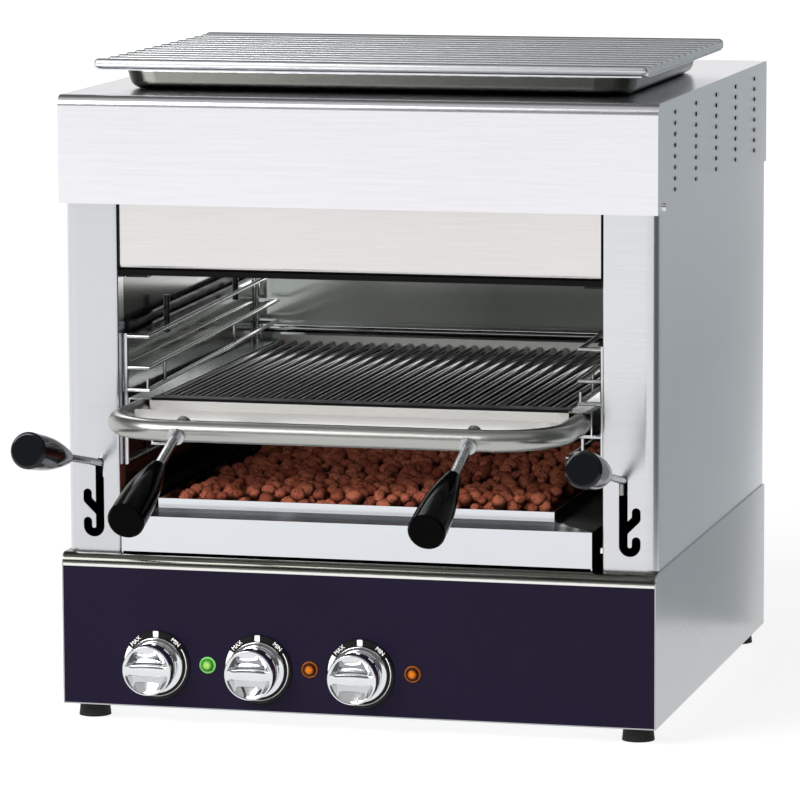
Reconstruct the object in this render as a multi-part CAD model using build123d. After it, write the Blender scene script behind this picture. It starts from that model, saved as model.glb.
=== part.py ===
from build123d import *
import math
import os
import random

# Lengths are in millimetres and angles in degrees. X runs to the right, Y to the rear and Z up.
# Heights start at the floor. Until they are written out, all pieces have y = 0 at the hood's front.

# Case
body_w = 570.0
body_d = 550.0
base_h = 144.0
opening_h = 330.0
hood_h = 101.0
sheet = 1.2
hood_bend = 10.0

# Vent holes in the hood's sides
vent_d = 3.0
vent_first_y = 81.0
vent_pitch_y = 100.5
vent_rear_gap = 40.0
vent_first_up = 16.5
vent_pitch_z = 10.2
vent_top_gap = 8.0

# Clearances: between bodies that move, between round welded pieces, in turning fits, and past a cut
lie_gap = 0.3
weld_gap = 0.1
turn_fit = 0.05
overrun = 5.0

# Feet
foot_h = 12.0
foot_d = 30.5
foot_top_d = 28.0
foot_in_x = 22.0
foot_in_y = 29.0
stud_h = 3.0
stud_d = 18.0

# Base front, with its rolled trim and control panel
base_proud = 5.0
trim_h = 12.0
trim_bend = 9.0
panel_t = 1.5

# Controls on the panel, from the left
knob_count = 3
knob_in = 92.5
knob_pitch = 99.0
knob_up = 41.0
lamp_shift = 50.0
lamp_up = 42.5
dial_d = 65.0
dial_t = 3.0
dial_bevel = 1.0
skirt_d = 53.0
skirt_t = 5.0
knob_d = 47.0
knob_body_h = 26.0
knob_pocket = 9.0
knob_grip_w = 11.0
knob_round = 1.5
knob_rim = 2.0
shaft_d = 6.0
shaft_in = 20.0
shaft_hold = 16.0
bush_d = 10.0
regulator_w = 46.0
regulator_d = 38.0
lamp_body_d = 11.0
lamp_body_h = 26.0
lamp_nut_d = 16.0
lamp_nut_t = 2.5
lens_rim_d = 16.0
lens_rim_t = 2.0
lens_rim_w = 1.8
lens_groove_w = 1.0
lens_h = 4.6
lens_stem_d = 8.0
lens_stem_h = 4.0
dome_width_share = 0.7
dome_step_share = 0.75

# Mains entry in the base
gland_in = 85.0
gland_up = 45.0
gland_d = 24.0
gland_nut_h = 9.0
gland_dome_h = 12.0
gland_dome_d = 19.0
gland_bore_d = 11.0
gland_thread_d = 20.0
gland_thread_h = 12.0
terminal_w = 70.0
terminal_d = 26.0
terminal_h = 24.0
terminal_ways = 5
terminal_groove_share = 0.18
terminal_off = 60.0

# Side panels, whose bent front edges are the posts beside the opening
post_y = 10.0
post_w = 52.0
post_bend = 12.0
post_return = 18.0
rear_return = 20.0
fold_bend = 2.5

# Lever slots in the posts, heights from the deck
slot_w = 8.2
slot_in = 32.2
slot_top_up = 89.0
slot_low_up = 14.0
notch_shift = 12.1
notch_high_up = 59.5
notch_low_up = 32.5
notch_lead_up = 37.0

# Cooking space
rear_space = 50.0
ceiling_up = 281.0
fascia_y = 12.5
fascia_drop = 14.0
fascia_top_up = 345.0
fascia_lip = 14.0
fascia_bend = 6.0
ceiling_lip = 12.0

# Rails on the side walls, with bright plates below them, heights from the deck at the front
wall_rail_front = 38.0
wall_rail_gap_rear = 40.0
wall_rail_up = 204.5
wall_rail_h = 13.0
wall_rail_rise = 6.0
wall_rail_out = 10.0
wall_rail_t = 2.0
wall_post_d = 6.0
wall_post_h = 36.0
wall_post_low = 12.0
wall_post_shares = (0.227, 0.787)
wall_plate_h = 27.0
wall_plate_t = 1.0
wall_bead_d = 3.0

# Heating elements
heater_d = 8.0
heater_bend = 32.0
round_bend_share = 0.98
heat_rail_w = 22.0
heat_rail_h = 23.0
heat_rail_t = 2.0
heat_rail_front = 34.0
heat_rail_rear = 8.0
upper_heater_count = 2
upper_heater_first_y = 130.0
upper_heater_pitch = 220.0
upper_heater_side_gap = 18.0
hook_d = 4.0
hook_in = 113.5
hook_reach = 9.0
lower_heater_count = 2
lower_heater_pitch = 190.0
lower_heater_front = 84.0
rest_bar_w = 18.0
rest_bar_t = 2.5
rest_bar_y_shares = (0.28, 0.82)

# Lava tray
tray_gap_left = 2.5
tray_gap_right = 8.5
tray_gap_rear = 20.0
tray_y = 5.0
tray_top_up = 36.0
tray_front_gap = 2.3
basin_in_left = 26.0
basin_in_right = 43.0
basin_in_rear = 40.0
basin_y = 40.0
basin_floor_up = 13.0
lip_h = 12.0
ledge_rise = 3.0
bed_up = 36.0
stone_d = 30.0
stone_gap = 0.6
stone_shapes = 5
stone_squash_shares = (0.76, 0.98)
stone_ring_share = 0.2
stone_row_share = 0.93

# Lift levers
lever_d = 7.0
lever_slot_up = 84.5
lever_reach = 201.6
lever_rise = 11.6
lever_toe = 1.45
lever_rest_up = 24.0
lever_grip_l = 104.0
grip_hold = 60.0
grip_d_start = 15.0
grip_d_end = 34.0
grip_round = 3.0
grip_swell_shares = ((0.0, 0.0), (0.25, 0.47), (0.5, 0.81), (0.75, 0.96), (1.0, 1.0))
lever_gap_rear = 160.0
pivot_share = 0.606
pivot_d = 10.0
hub_d = 22.0
hub_w = 16.0
tip_pin_d = 6.0
roller_d = 16.0
roller_w = 4.4

# Rack: a wire ladder each side that carries the grill, and the plates that lift it
wire_d = 4.0
upright_d = 4.6
upright_gap = 0.5
rack_front = 25.0
rack_gap_rear = 25.0
rack_foot_up = 84.0
rack_head_up = 206.0
runner_in = 24.0
runner_ups = (121.9, 152.5, 173.5, 203.0)
runner_rise = 10.7
tie_shares = (0.122, 0.653)
tie_wire_share = 0.75
stop_h = 11.0
hanger_drop = 21.5
hanger_in = 14.0
hanger_back = 12.0
hanger_wire_share = 0.9
cross_rod_d = 8.0
cross_rod_up = 155.0
lift_pin_d = 8.0
lift_pin_front = 90.0
lift_pin_gap_rear = 100.0
lift_plate_t = 3.0
lift_plate_h = 18.0
lift_leg_w = 30.0
lift_plate_off = 1.5
lift_plate_over = 12.0

# Grill
tube_d = 20.0
tube_up = 135.6
tube_out = 110.0
tube_bend = 63.0
tube_hold = 40.0
rail_front = 10.0
rail_gap_rear = 34.0
rail_gap = 9.5
rail_flange = 22.0
rod_pitch = 13.4
rod_d = 7.5
rod_up = 144.1
rod_front = 30.0
rod_gap_rear = 58.0
rod_heel = 7.2
front_bar_w = 18.0
front_bar_h = 12.0
rear_bar_w = 16.0
rear_bar_h = 10.0
rear_flange_h = 15.9
rear_flange_t = 2.0
channel_out = 40.0
channel_rear = 9.0
channel_wall_front = 19.5
channel_wall_rear = 21.5
channel_bend = 5.0
pull_in = 11.2
pull_reach = 164.0
pull_fall = 18.9
pull_rod_d = 9.0
pull_grip_l = 104.0
pull_washer_d = 16.0
pull_washer_t = 2.5
cap_nut_d = 14.0
cap_nut_h = 9.0
cap_nut_bevel = 3.0

# Loose pan and wire grid on top
pan_in = 20.0
pan_y = 48.0
pan_d = 377.0
pan_h = 21.0
pan_rim = 18.0
pan_slope = 5.0
pan_round = 11.0
pan_corner = 34.0
pan_rim_corner = 14.0
grid_bar_pitch = 28.0
grid_bar_d = 6.0
grid_rail_w = 9.0
grid_rail_h = 6.0
grid_end_d = 9.0
grid_sink_share = 0.4

# Screws in the hood's sides
screw_head_d = 8.0
screw_head_h = 2.0
screw_up = 5.0
screw_in_front = 30.0

# Levels and planes that several pieces share
half_w = body_w / 2
base_z = foot_h + stud_h
deck_z = base_z + base_h
hood_z = deck_z + opening_h
top_z = hood_z + hood_h
base_y = -base_proud
side_x = half_w - sheet - lie_gap
liner_x = side_x - post_w
liner_depth = body_d - rear_space
slot_x = side_x - slot_in
ceiling_z = deck_z + ceiling_up
panel_back = base_y + panel_t
dial_front = base_y - dial_t
knob_z = base_z + knob_up
knob_xs = [knob_in - half_w + i * knob_pitch for i in range(knob_count)]
lamp_xs = [x + lamp_shift for x in knob_xs]
lamp_z = base_z + lamp_up
gland_x = half_w - gland_in
wall_rail_rear = liner_depth - wall_rail_gap_rear
wall_rail_z = deck_z + wall_rail_up
heater_z = ceiling_z - heat_rail_h + heat_rail_t + heater_d / 2 + weld_gap
tray_top = deck_z + tray_top_up
tray_left = tray_gap_left - liner_x
tray_right = liner_x - tray_gap_right
tray_d = liner_depth - tray_gap_rear - tray_y
basin_left = tray_left + basin_in_left
basin_right = tray_right - basin_in_right
basin_d = tray_y + tray_d - basin_in_rear - basin_y
basin_z = deck_z + basin_floor_up
bed_z = deck_z + bed_up
upright_x = liner_x - upright_gap - upright_d / 2
rack_rear = liner_depth - rack_gap_rear
runner_x = liner_x - runner_in
lift_pin_ys = (lift_pin_front, liner_depth - lift_pin_gap_rear)
lever_back = liner_depth - lever_gap_rear - post_y
pivot_back = pivot_share * lever_back
tip_back = lever_back - pivot_back
rail_web_x = liner_x - rail_gap
rail_inner = rail_web_x - rail_flange
rail_rear = liner_depth - rail_gap_rear
tube_y = -tube_out
tube_z = deck_z + tube_up
rail_h = tube_d + 2 * weld_gap + 2 * sheet
rail_low = tube_z - rail_h / 2
rail_top = tube_z + rail_h / 2
tube_x = rail_web_x - sheet - weld_gap - tube_d / 2
pull_x = tube_x - tube_bend - pull_in
rod_z = deck_z + rod_up
rod_rear = liner_depth - rod_gap_rear
rod_count = int((2 * (rail_inner - weld_gap) - rod_d) / rod_pitch) + 1
channel_front = -channel_out
pan_x = half_w - pan_in
pan_floor_z = top_z + lie_gap
pan_rim_z = pan_floor_z + pan_h
plate_x = liner_x + sheet + lift_plate_off


def block(x0, x1, y0, y1, z0, z1):
    """A box between two corners."""
    return Pos((x0 + x1) / 2, (y0 + y1) / 2, (z0 + z1) / 2) * Box(x1 - x0, y1 - y0, z1 - z0)


def folded(points, radii, plane, length, side=Side.RIGHT, thick=sheet):
    """Bent sheet: a line of folds, thickened to one side and drawn out along the plane's normal."""
    line = FilletPolyline(*points, radius=radii)
    face = plane * Face(line.offset_2d(thick, side=side))
    return extrude(face, amount=length, dir=plane.z_dir)


def round_bar(start, end, diameter):
    """A straight round bar between two points."""
    run = Vector(*end) - Vector(*start)
    return Solid.make_cylinder(diameter / 2, run.length, Plane(Vector(*start), z_dir=run))


def bent_wire(points, diameter):
    """Wire with tight corners along a line of points."""
    path = Polyline(*points)
    section = Plane(path @ 0, z_dir=path % 0) * Circle(diameter / 2)
    return sweep(section, path=path, transition=Transition.RIGHT)


def bent_tube(points, bend, diameter):
    """Round tube or rod along a line of points with rounded bends."""
    path = FilletPolyline(*points, radius=bend)
    section = Plane(path @ 0, z_dir=path % 0) * Circle(diameter / 2)
    return sweep(section, path=path)


def turned(outline, start, way):
    """A turned piece: (radius, distance) points spun about an axis that begins at start."""
    face = Plane.XZ * make_face(Polyline(*outline, close=True))
    return Plane(Vector(*start), z_dir=Vector(*way)) * revolve(face, Axis.Z)


def sheared_box(outer, openings):
    """Thin box of sheet with the named sides left open."""
    return offset(outer, amount=-sheet, openings=openings)


def left_of(piece):
    """The left-hand twin of a right-hand piece."""
    return mirror(piece, about=Plane.YZ)


def base_shell():
    """Floor, sides and rear of the base in one folding; the sides round off behind the trim."""
    outer = block(-half_w, half_w, base_y, body_d, base_z, deck_z)
    top = outer.faces().sort_by(Axis.Z)[-1]
    front = outer.faces().sort_by(Axis.Y)[0]
    shell = sheared_box(outer, [top, front])
    corners = shell.edges().filter_by(Axis.X).filter_by(
        lambda e: e.center().Y < base_y + sheet and e.center().Z > deck_z - sheet)
    shell = fillet(corners, trim_bend)
    bore = round_bar(
        (gland_x, body_d - sheet - overrun, base_z + gland_up),
        (gland_x, body_d + overrun, base_z + gland_up), gland_thread_d + 2 * lie_gap)
    return shell - bore


def deck_plate():
    """Floor of the cooking space, rolled over at the front into the bright trim."""
    points = [(body_d - sheet - weld_gap, deck_z), (base_y, deck_z), (base_y, deck_z - trim_h)]
    width = body_w - 2 * sheet - 2 * weld_gap
    plane = Plane.YZ.offset(-width / 2)
    return folded(points, trim_bend, plane, width, Side.LEFT)


def control_panel():
    """Dark front plate with holes for the three switches and lamps."""
    edge = half_w - sheet - weld_gap
    plate = block(-edge, edge, base_y, panel_back, base_z + sheet + weld_gap, deck_z - trim_h - weld_gap)
    for x in knob_xs:
        plate -= round_bar((x, base_y - overrun, knob_z), (x, panel_back + overrun, knob_z),
                           bush_d + 2 * lie_gap)
    for x in lamp_xs:
        plate -= round_bar((x, base_y - overrun, lamp_z), (x, panel_back + overrun, lamp_z),
                           lamp_body_d + 2 * lie_gap)
    return plate


def foot_places():
    """Centres of the four feet."""
    return [(side * (half_w - foot_in_x), y)
            for side in (-1, 1) for y in (base_y + foot_in_y, body_d - foot_in_y)]


def feet():
    """Four rubber feet, a little wider on the floor."""
    outline = [(0, 0), (foot_d / 2, 0), (foot_top_d / 2, foot_h), (0, foot_h)]
    return [turned(outline, (x, y, 0), (0, 0, 1)) for x, y in foot_places()]


def foot_studs():
    """Plain steel nuts between the feet and the base."""
    return [extrude(Pos(x, y, foot_h) * RegularPolygon(stud_d / 2, 6), amount=stud_h, dir=(0, 0, 1))
            for x, y in foot_places()]


def slot_cut():
    """Lever slot of the right-hand post: a main run with two notches that lead out and up."""
    r = slot_w / 2
    out_x = slot_x + notch_shift
    bend_z = deck_z + slot_low_up + notch_shift / 2 + r
    lead_z = deck_z + notch_lead_up
    main = Line((slot_x, deck_z + slot_top_up - r), (slot_x, bend_z))
    hook = ThreePointArc((slot_x, bend_z), ((slot_x + out_x) / 2, bend_z - notch_shift / 2), (out_x, bend_z))
    low = Line((out_x, bend_z), (out_x, deck_z + notch_low_up - r))
    high = Polyline((slot_x, lead_z), (out_x, lead_z + notch_shift), (out_x, deck_z + notch_high_up - r))
    shape = Face(Wire([main, hook, low]).offset_2d(r)) + Face(Wire(high.edges()).offset_2d(r))
    plane = Plane((0, post_y + overrun, 0), x_dir=(1, 0, 0), z_dir=(0, -1, 0))
    return extrude(plane * shape, amount=2 * overrun, dir=(0, -1, 0))


def vent_cuts(diameter):
    """Round bars right across the body where the vent holes go through its sides."""
    reach = half_w + overrun
    columns = int((body_d - vent_first_y - vent_rear_gap) / vent_pitch_y) + 1
    rows = int((hood_h - vent_first_up - vent_top_gap) / vent_pitch_z) + 1
    cuts = []
    for i in range(columns):
        for j in range(rows):
            y = vent_first_y + i * vent_pitch_y
            z = hood_z + vent_first_up + j * vent_pitch_z
            cuts.append(round_bar((-reach, y, z), (reach, y, z), diameter))
    return cuts


def side_panel():
    """Right side: outer sheet, front post with its lever slot, and a return at front and rear."""
    rear = body_d - sheet - lie_gap
    points = [(side_x - rear_return, rear), (side_x, rear), (side_x, post_y),
              (liner_x, post_y), (liner_x, post_y + post_return)]
    height = top_z - sheet - lie_gap - deck_z
    panel = folded(points, [fold_bend, post_bend, fold_bend], Plane.XY.offset(deck_z), height)
    return panel - slot_cut() - vent_cuts(vent_d + 2 * turn_fit)


def back_panel():
    """Rear cover between the base and the hood."""
    edge = side_x - rear_return - weld_gap
    rear = body_d - sheet - lie_gap
    return block(-edge, edge, rear - sheet, rear, deck_z, top_z - sheet - lie_gap)


def hood():
    """Top cover, open below, with a rounded front edge and columns of vent holes in its sides."""
    outer = block(-half_w, half_w, 0, body_d, hood_z, top_z)
    nose = outer.edges().filter_by(Axis.X).sort_by(lambda e: e.center().Y - e.center().Z)[0]
    outer = fillet(nose, hood_bend)
    cover = sheared_box(outer, [outer.faces().sort_by(Axis.Z)[0]])
    return cover - vent_cuts(vent_d)


def hood_screws():
    """Screw heads low on the hood's sides, near its front."""
    y, z = screw_in_front, hood_z + screw_up
    return [round_bar((side * half_w, y, z), (side * (half_w + screw_head_h), y, z), screw_head_d)
            for side in (-1, 1)]


def inner_fascia():
    """Strip above the opening, set back behind the hood, with its lower edge turned in."""
    width = 2 * (liner_x - lie_gap)
    low = ceiling_z - fascia_drop
    points = [(fascia_y, deck_z + fascia_top_up), (fascia_y, low), (fascia_y + fascia_lip, low)]
    return folded(points, fascia_bend, Plane.YZ.offset(-width / 2), width, Side.LEFT)


def on_wall(z0, z1, out):
    """A strip on the right wall, between two heights at its front, that rises a little to the rear."""
    outline = Polyline((wall_rail_front, z0), (wall_rail_rear, z0 + wall_rail_rise),
                       (wall_rail_rear, z1 + wall_rail_rise), (wall_rail_front, z1), close=True)
    return extrude(Plane.YZ.offset(liner_x - out) * make_face(outline), amount=out, dir=(1, 0, 0))


def wall_rail():
    """Dark channel on the right wall, open inwards, with two upright posts."""
    high = wall_rail_z + wall_rail_h
    rail = on_wall(wall_rail_z, high, wall_rail_t)
    rail += on_wall(wall_rail_z, wall_rail_z + wall_rail_t, wall_rail_out)
    rail += on_wall(high - wall_rail_t, high, wall_rail_out)
    for share in wall_post_shares:
        y = wall_rail_front + share * (wall_rail_rear - wall_rail_front)
        low = wall_rail_z + share * wall_rail_rise - wall_post_low
        x = liner_x - wall_rail_out
        rail += round_bar((x, y, low), (x, y, low + wall_post_h), wall_post_d)
    return rail


def liner_side():
    """Right wall of the cooking space: slots for the rack's lift pins, and a bright plate with a round edge."""
    wall = block(liner_x, liner_x + sheet, post_y + post_return + weld_gap, liner_depth, deck_z, ceiling_z)
    low = deck_z + rack_foot_up - lift_pin_d / 2 - 2 * lie_gap
    high = deck_z + rack_foot_up + lift_pin_d / 2 + lift_travel() + 2 * lie_gap
    for y in lift_pin_ys:
        half = lift_pin_d / 2 + 2 * lie_gap
        wall -= block(liner_x - overrun, liner_x + overrun, y - half, y + half, low, high)
    low = wall_rail_z - wall_plate_h
    x = liner_x - wall_bead_d / 2
    wall += on_wall(low, wall_rail_z - lie_gap, wall_plate_t)
    return wall + round_bar((x, wall_rail_front, low), (x, wall_rail_rear, low + wall_rail_rise), wall_bead_d)


def liner_rear():
    """Rear wall of the cooking space."""
    edge = liner_x + sheet
    return block(-edge, edge, liner_depth, liner_depth + sheet, deck_z, ceiling_z)


def ceiling_reflector():
    """Sheet above the elements, turned up at the front."""
    width = 2 * (liner_x + sheet)
    front = post_y + post_return + weld_gap
    points = [(front, ceiling_z + ceiling_lip), (front, ceiling_z), (liner_depth + sheet, ceiling_z)]
    return folded(points, fold_bend, Plane.YZ.offset(-width / 2), width, Side.LEFT)


def heater_rails():
    """Dark angles on the side walls that carry the upper elements, and the channels below them."""
    low = ceiling_z - heat_rail_h
    points = [(liner_x, ceiling_z), (liner_x, low), (liner_x - heat_rail_w, low)]
    length = liner_depth - heat_rail_rear - heat_rail_front
    plane = Plane((0, heat_rail_front, 0), x_dir=(1, 0, 0), z_dir=(0, -1, 0))
    face = plane * Face(FilletPolyline(*points, radius=fold_bend).offset_2d(heat_rail_t, side=Side.RIGHT))
    right = extrude(face, amount=length, dir=(0, 1, 0))
    channel = wall_rail()
    return [left_of(right), right, left_of(channel), channel]


def upper_heaters():
    """Hairpin elements under the ceiling, from the left wall and back."""
    left = -liner_x + heat_rail_t + fold_bend
    right = liner_x - upper_heater_side_gap
    pins = []
    for i in range(upper_heater_count):
        y = upper_heater_first_y + i * upper_heater_pitch
        points = [(left, y - heater_bend), (right, y - heater_bend), (right, y + heater_bend),
                  (left, y + heater_bend)]
        pins.append(bent_tube([(px, py, heater_z) for px, py in points],
                              heater_bend * round_bend_share, heater_d))
    return pins


def heater_hooks():
    """Wire hooks from the ceiling under the middle of each element's runs."""
    low = heater_z - heater_d / 2 - hook_d / 2 - weld_gap
    hooks = []
    for i in range(upper_heater_count):
        for run in (-1, 1):
            y = upper_heater_first_y + i * upper_heater_pitch + run * heater_bend
            for x in (hook_in - liner_x, liner_x - hook_in):
                hooks.append(bent_wire([(x, y + hook_reach, ceiling_z), (x, y + hook_reach, low),
                                        (x, y - hook_reach, low)], hook_d))
    return hooks


def lower_heaters():
    """Hairpin elements under the lava tray, from the rear wall and back."""
    z = deck_z + rest_bar_t + weld_gap + heater_d / 2
    middle = (basin_left + basin_right) / 2
    pins = []
    for i in range(lower_heater_count):
        x = middle + (i - (lower_heater_count - 1) / 2) * lower_heater_pitch
        points = [(x - heater_bend, liner_depth - weld_gap), (x - heater_bend, lower_heater_front),
                  (x + heater_bend, lower_heater_front), (x + heater_bend, liner_depth - weld_gap)]
        pins.append(bent_tube([(px, py, z) for px, py in points],
                              heater_bend * round_bend_share, heater_d))
    return pins


def heater_rests():
    """Flat bars on the deck that hold the lower elements clear of it."""
    return [block(basin_left, basin_right, liner_depth * share - rest_bar_w / 2,
                  liner_depth * share + rest_bar_w / 2, deck_z, deck_z + rest_bar_t)
            for share in rest_bar_y_shares]


def regulators():
    """Power regulators behind the panel, each with a bush that carries the knob's shaft."""
    units = []
    for x in knob_xs:
        unit = block(x - regulator_w / 2, x + regulator_w / 2, panel_back, panel_back + regulator_d,
                     knob_z - regulator_w / 2 + panel_t, knob_z + regulator_w / 2 + panel_t)
        unit += round_bar((x, panel_back, knob_z), (x, dial_front + lie_gap, knob_z), bush_d)
        unit -= round_bar((x, dial_front - overrun, knob_z),
                          (x, panel_back + shaft_in + lie_gap, knob_z), shaft_d + 2 * turn_fit)
        units.append(unit)
    return units


def dial_rings():
    """Black dial plates behind the knobs."""
    hole = bush_d / 2 + lie_gap
    outline = [(hole, 0), (dial_d / 2, 0), (dial_d / 2, dial_t - dial_bevel),
               (dial_d / 2 - dial_bevel, dial_t), (hole, dial_t)]
    return [turned(outline, (x, base_y, knob_z), (0, -1, 0)) for x in knob_xs]


def knob(x):
    """Turned knob with a skirt; two wedge-shaped pockets in its face leave a bar to grip."""
    r_skirt, r = skirt_d / 2, knob_d / 2
    high = skirt_t + knob_body_h
    start = (x, dial_front - lie_gap, knob_z)
    body = turned([(0, 0), (r_skirt, 0), (r_skirt, skirt_t), (r, skirt_t), (r, high - knob_round),
                   (r - knob_round, high), (0, high)], start, (0, -1, 0))
    face_y = start[1] - high
    plane = Plane.YZ.offset(x - knob_d)
    for side in (-1, 1):
        inner, outer = knob_z + side * knob_grip_w / 2, knob_z + side * (r - knob_rim)
        wedge = Polyline((face_y, outer), (face_y + knob_pocket, inner), (face_y - overrun, inner),
                         (face_y - overrun, outer), close=True)
        pocket = extrude(plane * make_face(wedge), amount=2 * knob_d, dir=(1, 0, 0))
        core = round_bar((x, face_y - overrun, knob_z), (x, face_y + high, knob_z), knob_d - 2 * knob_rim)
        body -= pocket & core
    socket = round_bar((x, start[1] + overrun, knob_z), (x, start[1] - shaft_hold - lie_gap, knob_z),
                       shaft_d + 2 * turn_fit)
    return body - socket


def shaft(x):
    """Regulator shaft that the knob sits on."""
    return round_bar((x, panel_back + shaft_in, knob_z), (x, dial_front - lie_gap - shaft_hold, knob_z),
                     shaft_d)


def lamp_housing(x):
    """Pilot lamp body in the panel, held by a round nut behind it."""
    bore, r, r_nut = lens_stem_d / 2 + turn_fit, lamp_body_d / 2, lamp_nut_d / 2
    nut, well = panel_t + lamp_nut_t, lens_stem_h + lie_gap
    outline = [(bore, 0), (r, 0), (r, -panel_t), (r_nut, -panel_t), (r_nut, -nut), (r, -nut),
               (r, -lamp_body_h), (0, -lamp_body_h), (0, -well), (bore, -well)]
    return turned(outline, (x, base_y, lamp_z), (0, -1, 0))


def lamp_lens(x):
    """Coloured lens on a pilot lamp: a rim on the panel, a groove, a dome and a stem in the lamp's body."""
    r_stem, r_rim = lens_stem_d / 2, lens_rim_d / 2
    r_groove = r_rim - lens_rim_w
    r_dome = r_groove - lens_groove_w
    dip, step = lens_rim_t / 2, lens_h * dome_step_share
    outline = [(0, -lens_stem_h), (r_stem, -lens_stem_h), (r_stem, 0), (r_rim, 0), (r_rim, dip),
               (r_groove, lens_rim_t), (r_groove, dip), (r_dome, dip), (r_dome, lens_rim_t),
               (r_dome * dome_width_share, step), (0, lens_h)]
    return turned(outline, (x, base_y, lamp_z), (0, -1, 0))


def cable_gland():
    """Gland for the mains lead in the rear of the base."""
    z = base_z + gland_up
    start = (gland_x, body_d, z)
    nut = extrude(Plane(start, z_dir=(0, 1, 0)) * RegularPolygon(gland_d / 2, 6), amount=gland_nut_h,
                  dir=(0, 1, 0))
    thread = round_bar((gland_x, body_d - gland_thread_h, z), start, gland_thread_d)
    dome = turned([(0, gland_nut_h), (gland_dome_d / 2, gland_nut_h),
                   (gland_bore_d / 2 + sheet, gland_nut_h + gland_dome_h), (0, gland_nut_h + gland_dome_h)],
                  start, (0, 1, 0))
    bore = round_bar((gland_x, body_d - gland_thread_h - overrun, z),
                     (gland_x, body_d + gland_nut_h + gland_dome_h + overrun, z), gland_bore_d)
    return nut + thread + dome - bore


def terminal_block():
    """Row of mains terminals on the base floor near the gland."""
    x0 = gland_x - terminal_w
    y1 = body_d - terminal_off
    z0 = base_z + sheet
    piece = block(x0, x0 + terminal_w, y1 - terminal_d, y1, z0, z0 + terminal_h)
    way = terminal_w / terminal_ways
    groove = way * terminal_groove_share
    for i in range(1, terminal_ways):
        piece -= block(x0 + i * way - groove / 2, x0 + i * way + groove / 2, y1 - terminal_d - overrun,
                       y1 + overrun, z0 + terminal_h / 2, z0 + terminal_h + overrun)
    return piece


def lever_way():
    """Unit direction of the right-hand lever, towards its grip."""
    rise, toe = math.radians(lever_rise), math.radians(lever_toe)
    return Vector(math.cos(rise) * math.sin(toe), -math.cos(rise) * math.cos(toe), math.sin(rise))


def lever_point(y):
    """Point on the right-hand lever's centre line at a distance from the front."""
    way = lever_way()
    return Vector(slot_x, post_y, deck_z + lever_slot_up) + way * ((y - post_y) / way.Y)


def lever_end():
    """Front end of the right-hand lever's grip."""
    return Vector(slot_x, post_y, deck_z + lever_slot_up) + lever_way() * lever_reach


def lever_swing():
    """Angle that the lever turns through from the top of its slot to the bottom, in degrees."""
    drop = lever_point(post_y + pivot_back).Z - deck_z - lever_rest_up
    return lever_rise + math.degrees(math.atan2(drop, pivot_back))


def lift_travel():
    """Height that the rack gains when the lever goes from the top of its slot to the bottom."""
    arm = tip_back / math.cos(math.radians(lever_rise))
    return arm * (math.sin(math.radians(lever_rise)) + math.sin(math.radians(lever_swing() - lever_rise)))


def lever_rod():
    """Right-hand lever: rod, pivot hub and the pin for its lift roller."""
    pivot = lever_point(post_y + pivot_back)
    tip = lever_point(post_y + pivot_back + tip_back)
    front = lever_end() - lever_way() * (lever_grip_l - grip_hold)
    rod = round_bar(tuple(tip), tuple(front), lever_d)
    rod += round_bar((pivot.X - hub_w / 2, pivot.Y, pivot.Z), (pivot.X + hub_w / 2, pivot.Y, pivot.Z), hub_d)
    rod += round_bar((plate_x, tip.Y, tip.Z), (tip.X, tip.Y, tip.Z), tip_pin_d)
    return rod - round_bar((pivot.X - hub_w, pivot.Y, pivot.Z), (pivot.X + hub_w, pivot.Y, pivot.Z),
                           pivot_d + 2 * turn_fit)


def lift_roller():
    """Roller on the rear end of the right-hand lever."""
    tip = lever_point(post_y + pivot_back + tip_back)
    outline = [(tip_pin_d / 2 + turn_fit, 0), (roller_d / 2, 0), (roller_d / 2, roller_w),
               (tip_pin_d / 2 + turn_fit, roller_w)]
    return turned(outline, (plate_x, tip.Y, tip.Z), (1, 0, 0))


def grip(end, way, length, rod_d):
    """Bulging grip, thick at its free end, on a rod that enters its thin end."""
    r0, r1 = grip_d_start / 2, grip_d_end / 2
    hole = rod_d / 2 + turn_fit
    shoulder = length - grip_round
    bulge = [(r0 + (r1 - r0) * swell, shoulder * along) for along, swell in grip_swell_shares]
    rest = [bulge[-1], (r1 - grip_round / 2, length - grip_round / 6), (r1 - grip_round, length), (0, length),
            (0, grip_hold + lie_gap), (hole, grip_hold + lie_gap), (hole, 0), bulge[0]]
    face = Plane.XZ * make_face(Spline(*bulge) + Polyline(*rest))
    return Plane(end - way * length, z_dir=way) * revolve(face, Axis.Z)


def lever_grip():
    """Grip of the right-hand lever."""
    return grip(lever_end(), lever_way(), lever_grip_l, lever_d)


def lever_pivots():
    """Pins between the cooking space's walls and the side panels, on which the levers rock."""
    pivot = lever_point(post_y + pivot_back)
    right = round_bar((liner_x + sheet, pivot.Y, pivot.Z), (side_x - sheet, pivot.Y, pivot.Z), pivot_d)
    return [left_of(right), right]


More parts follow.
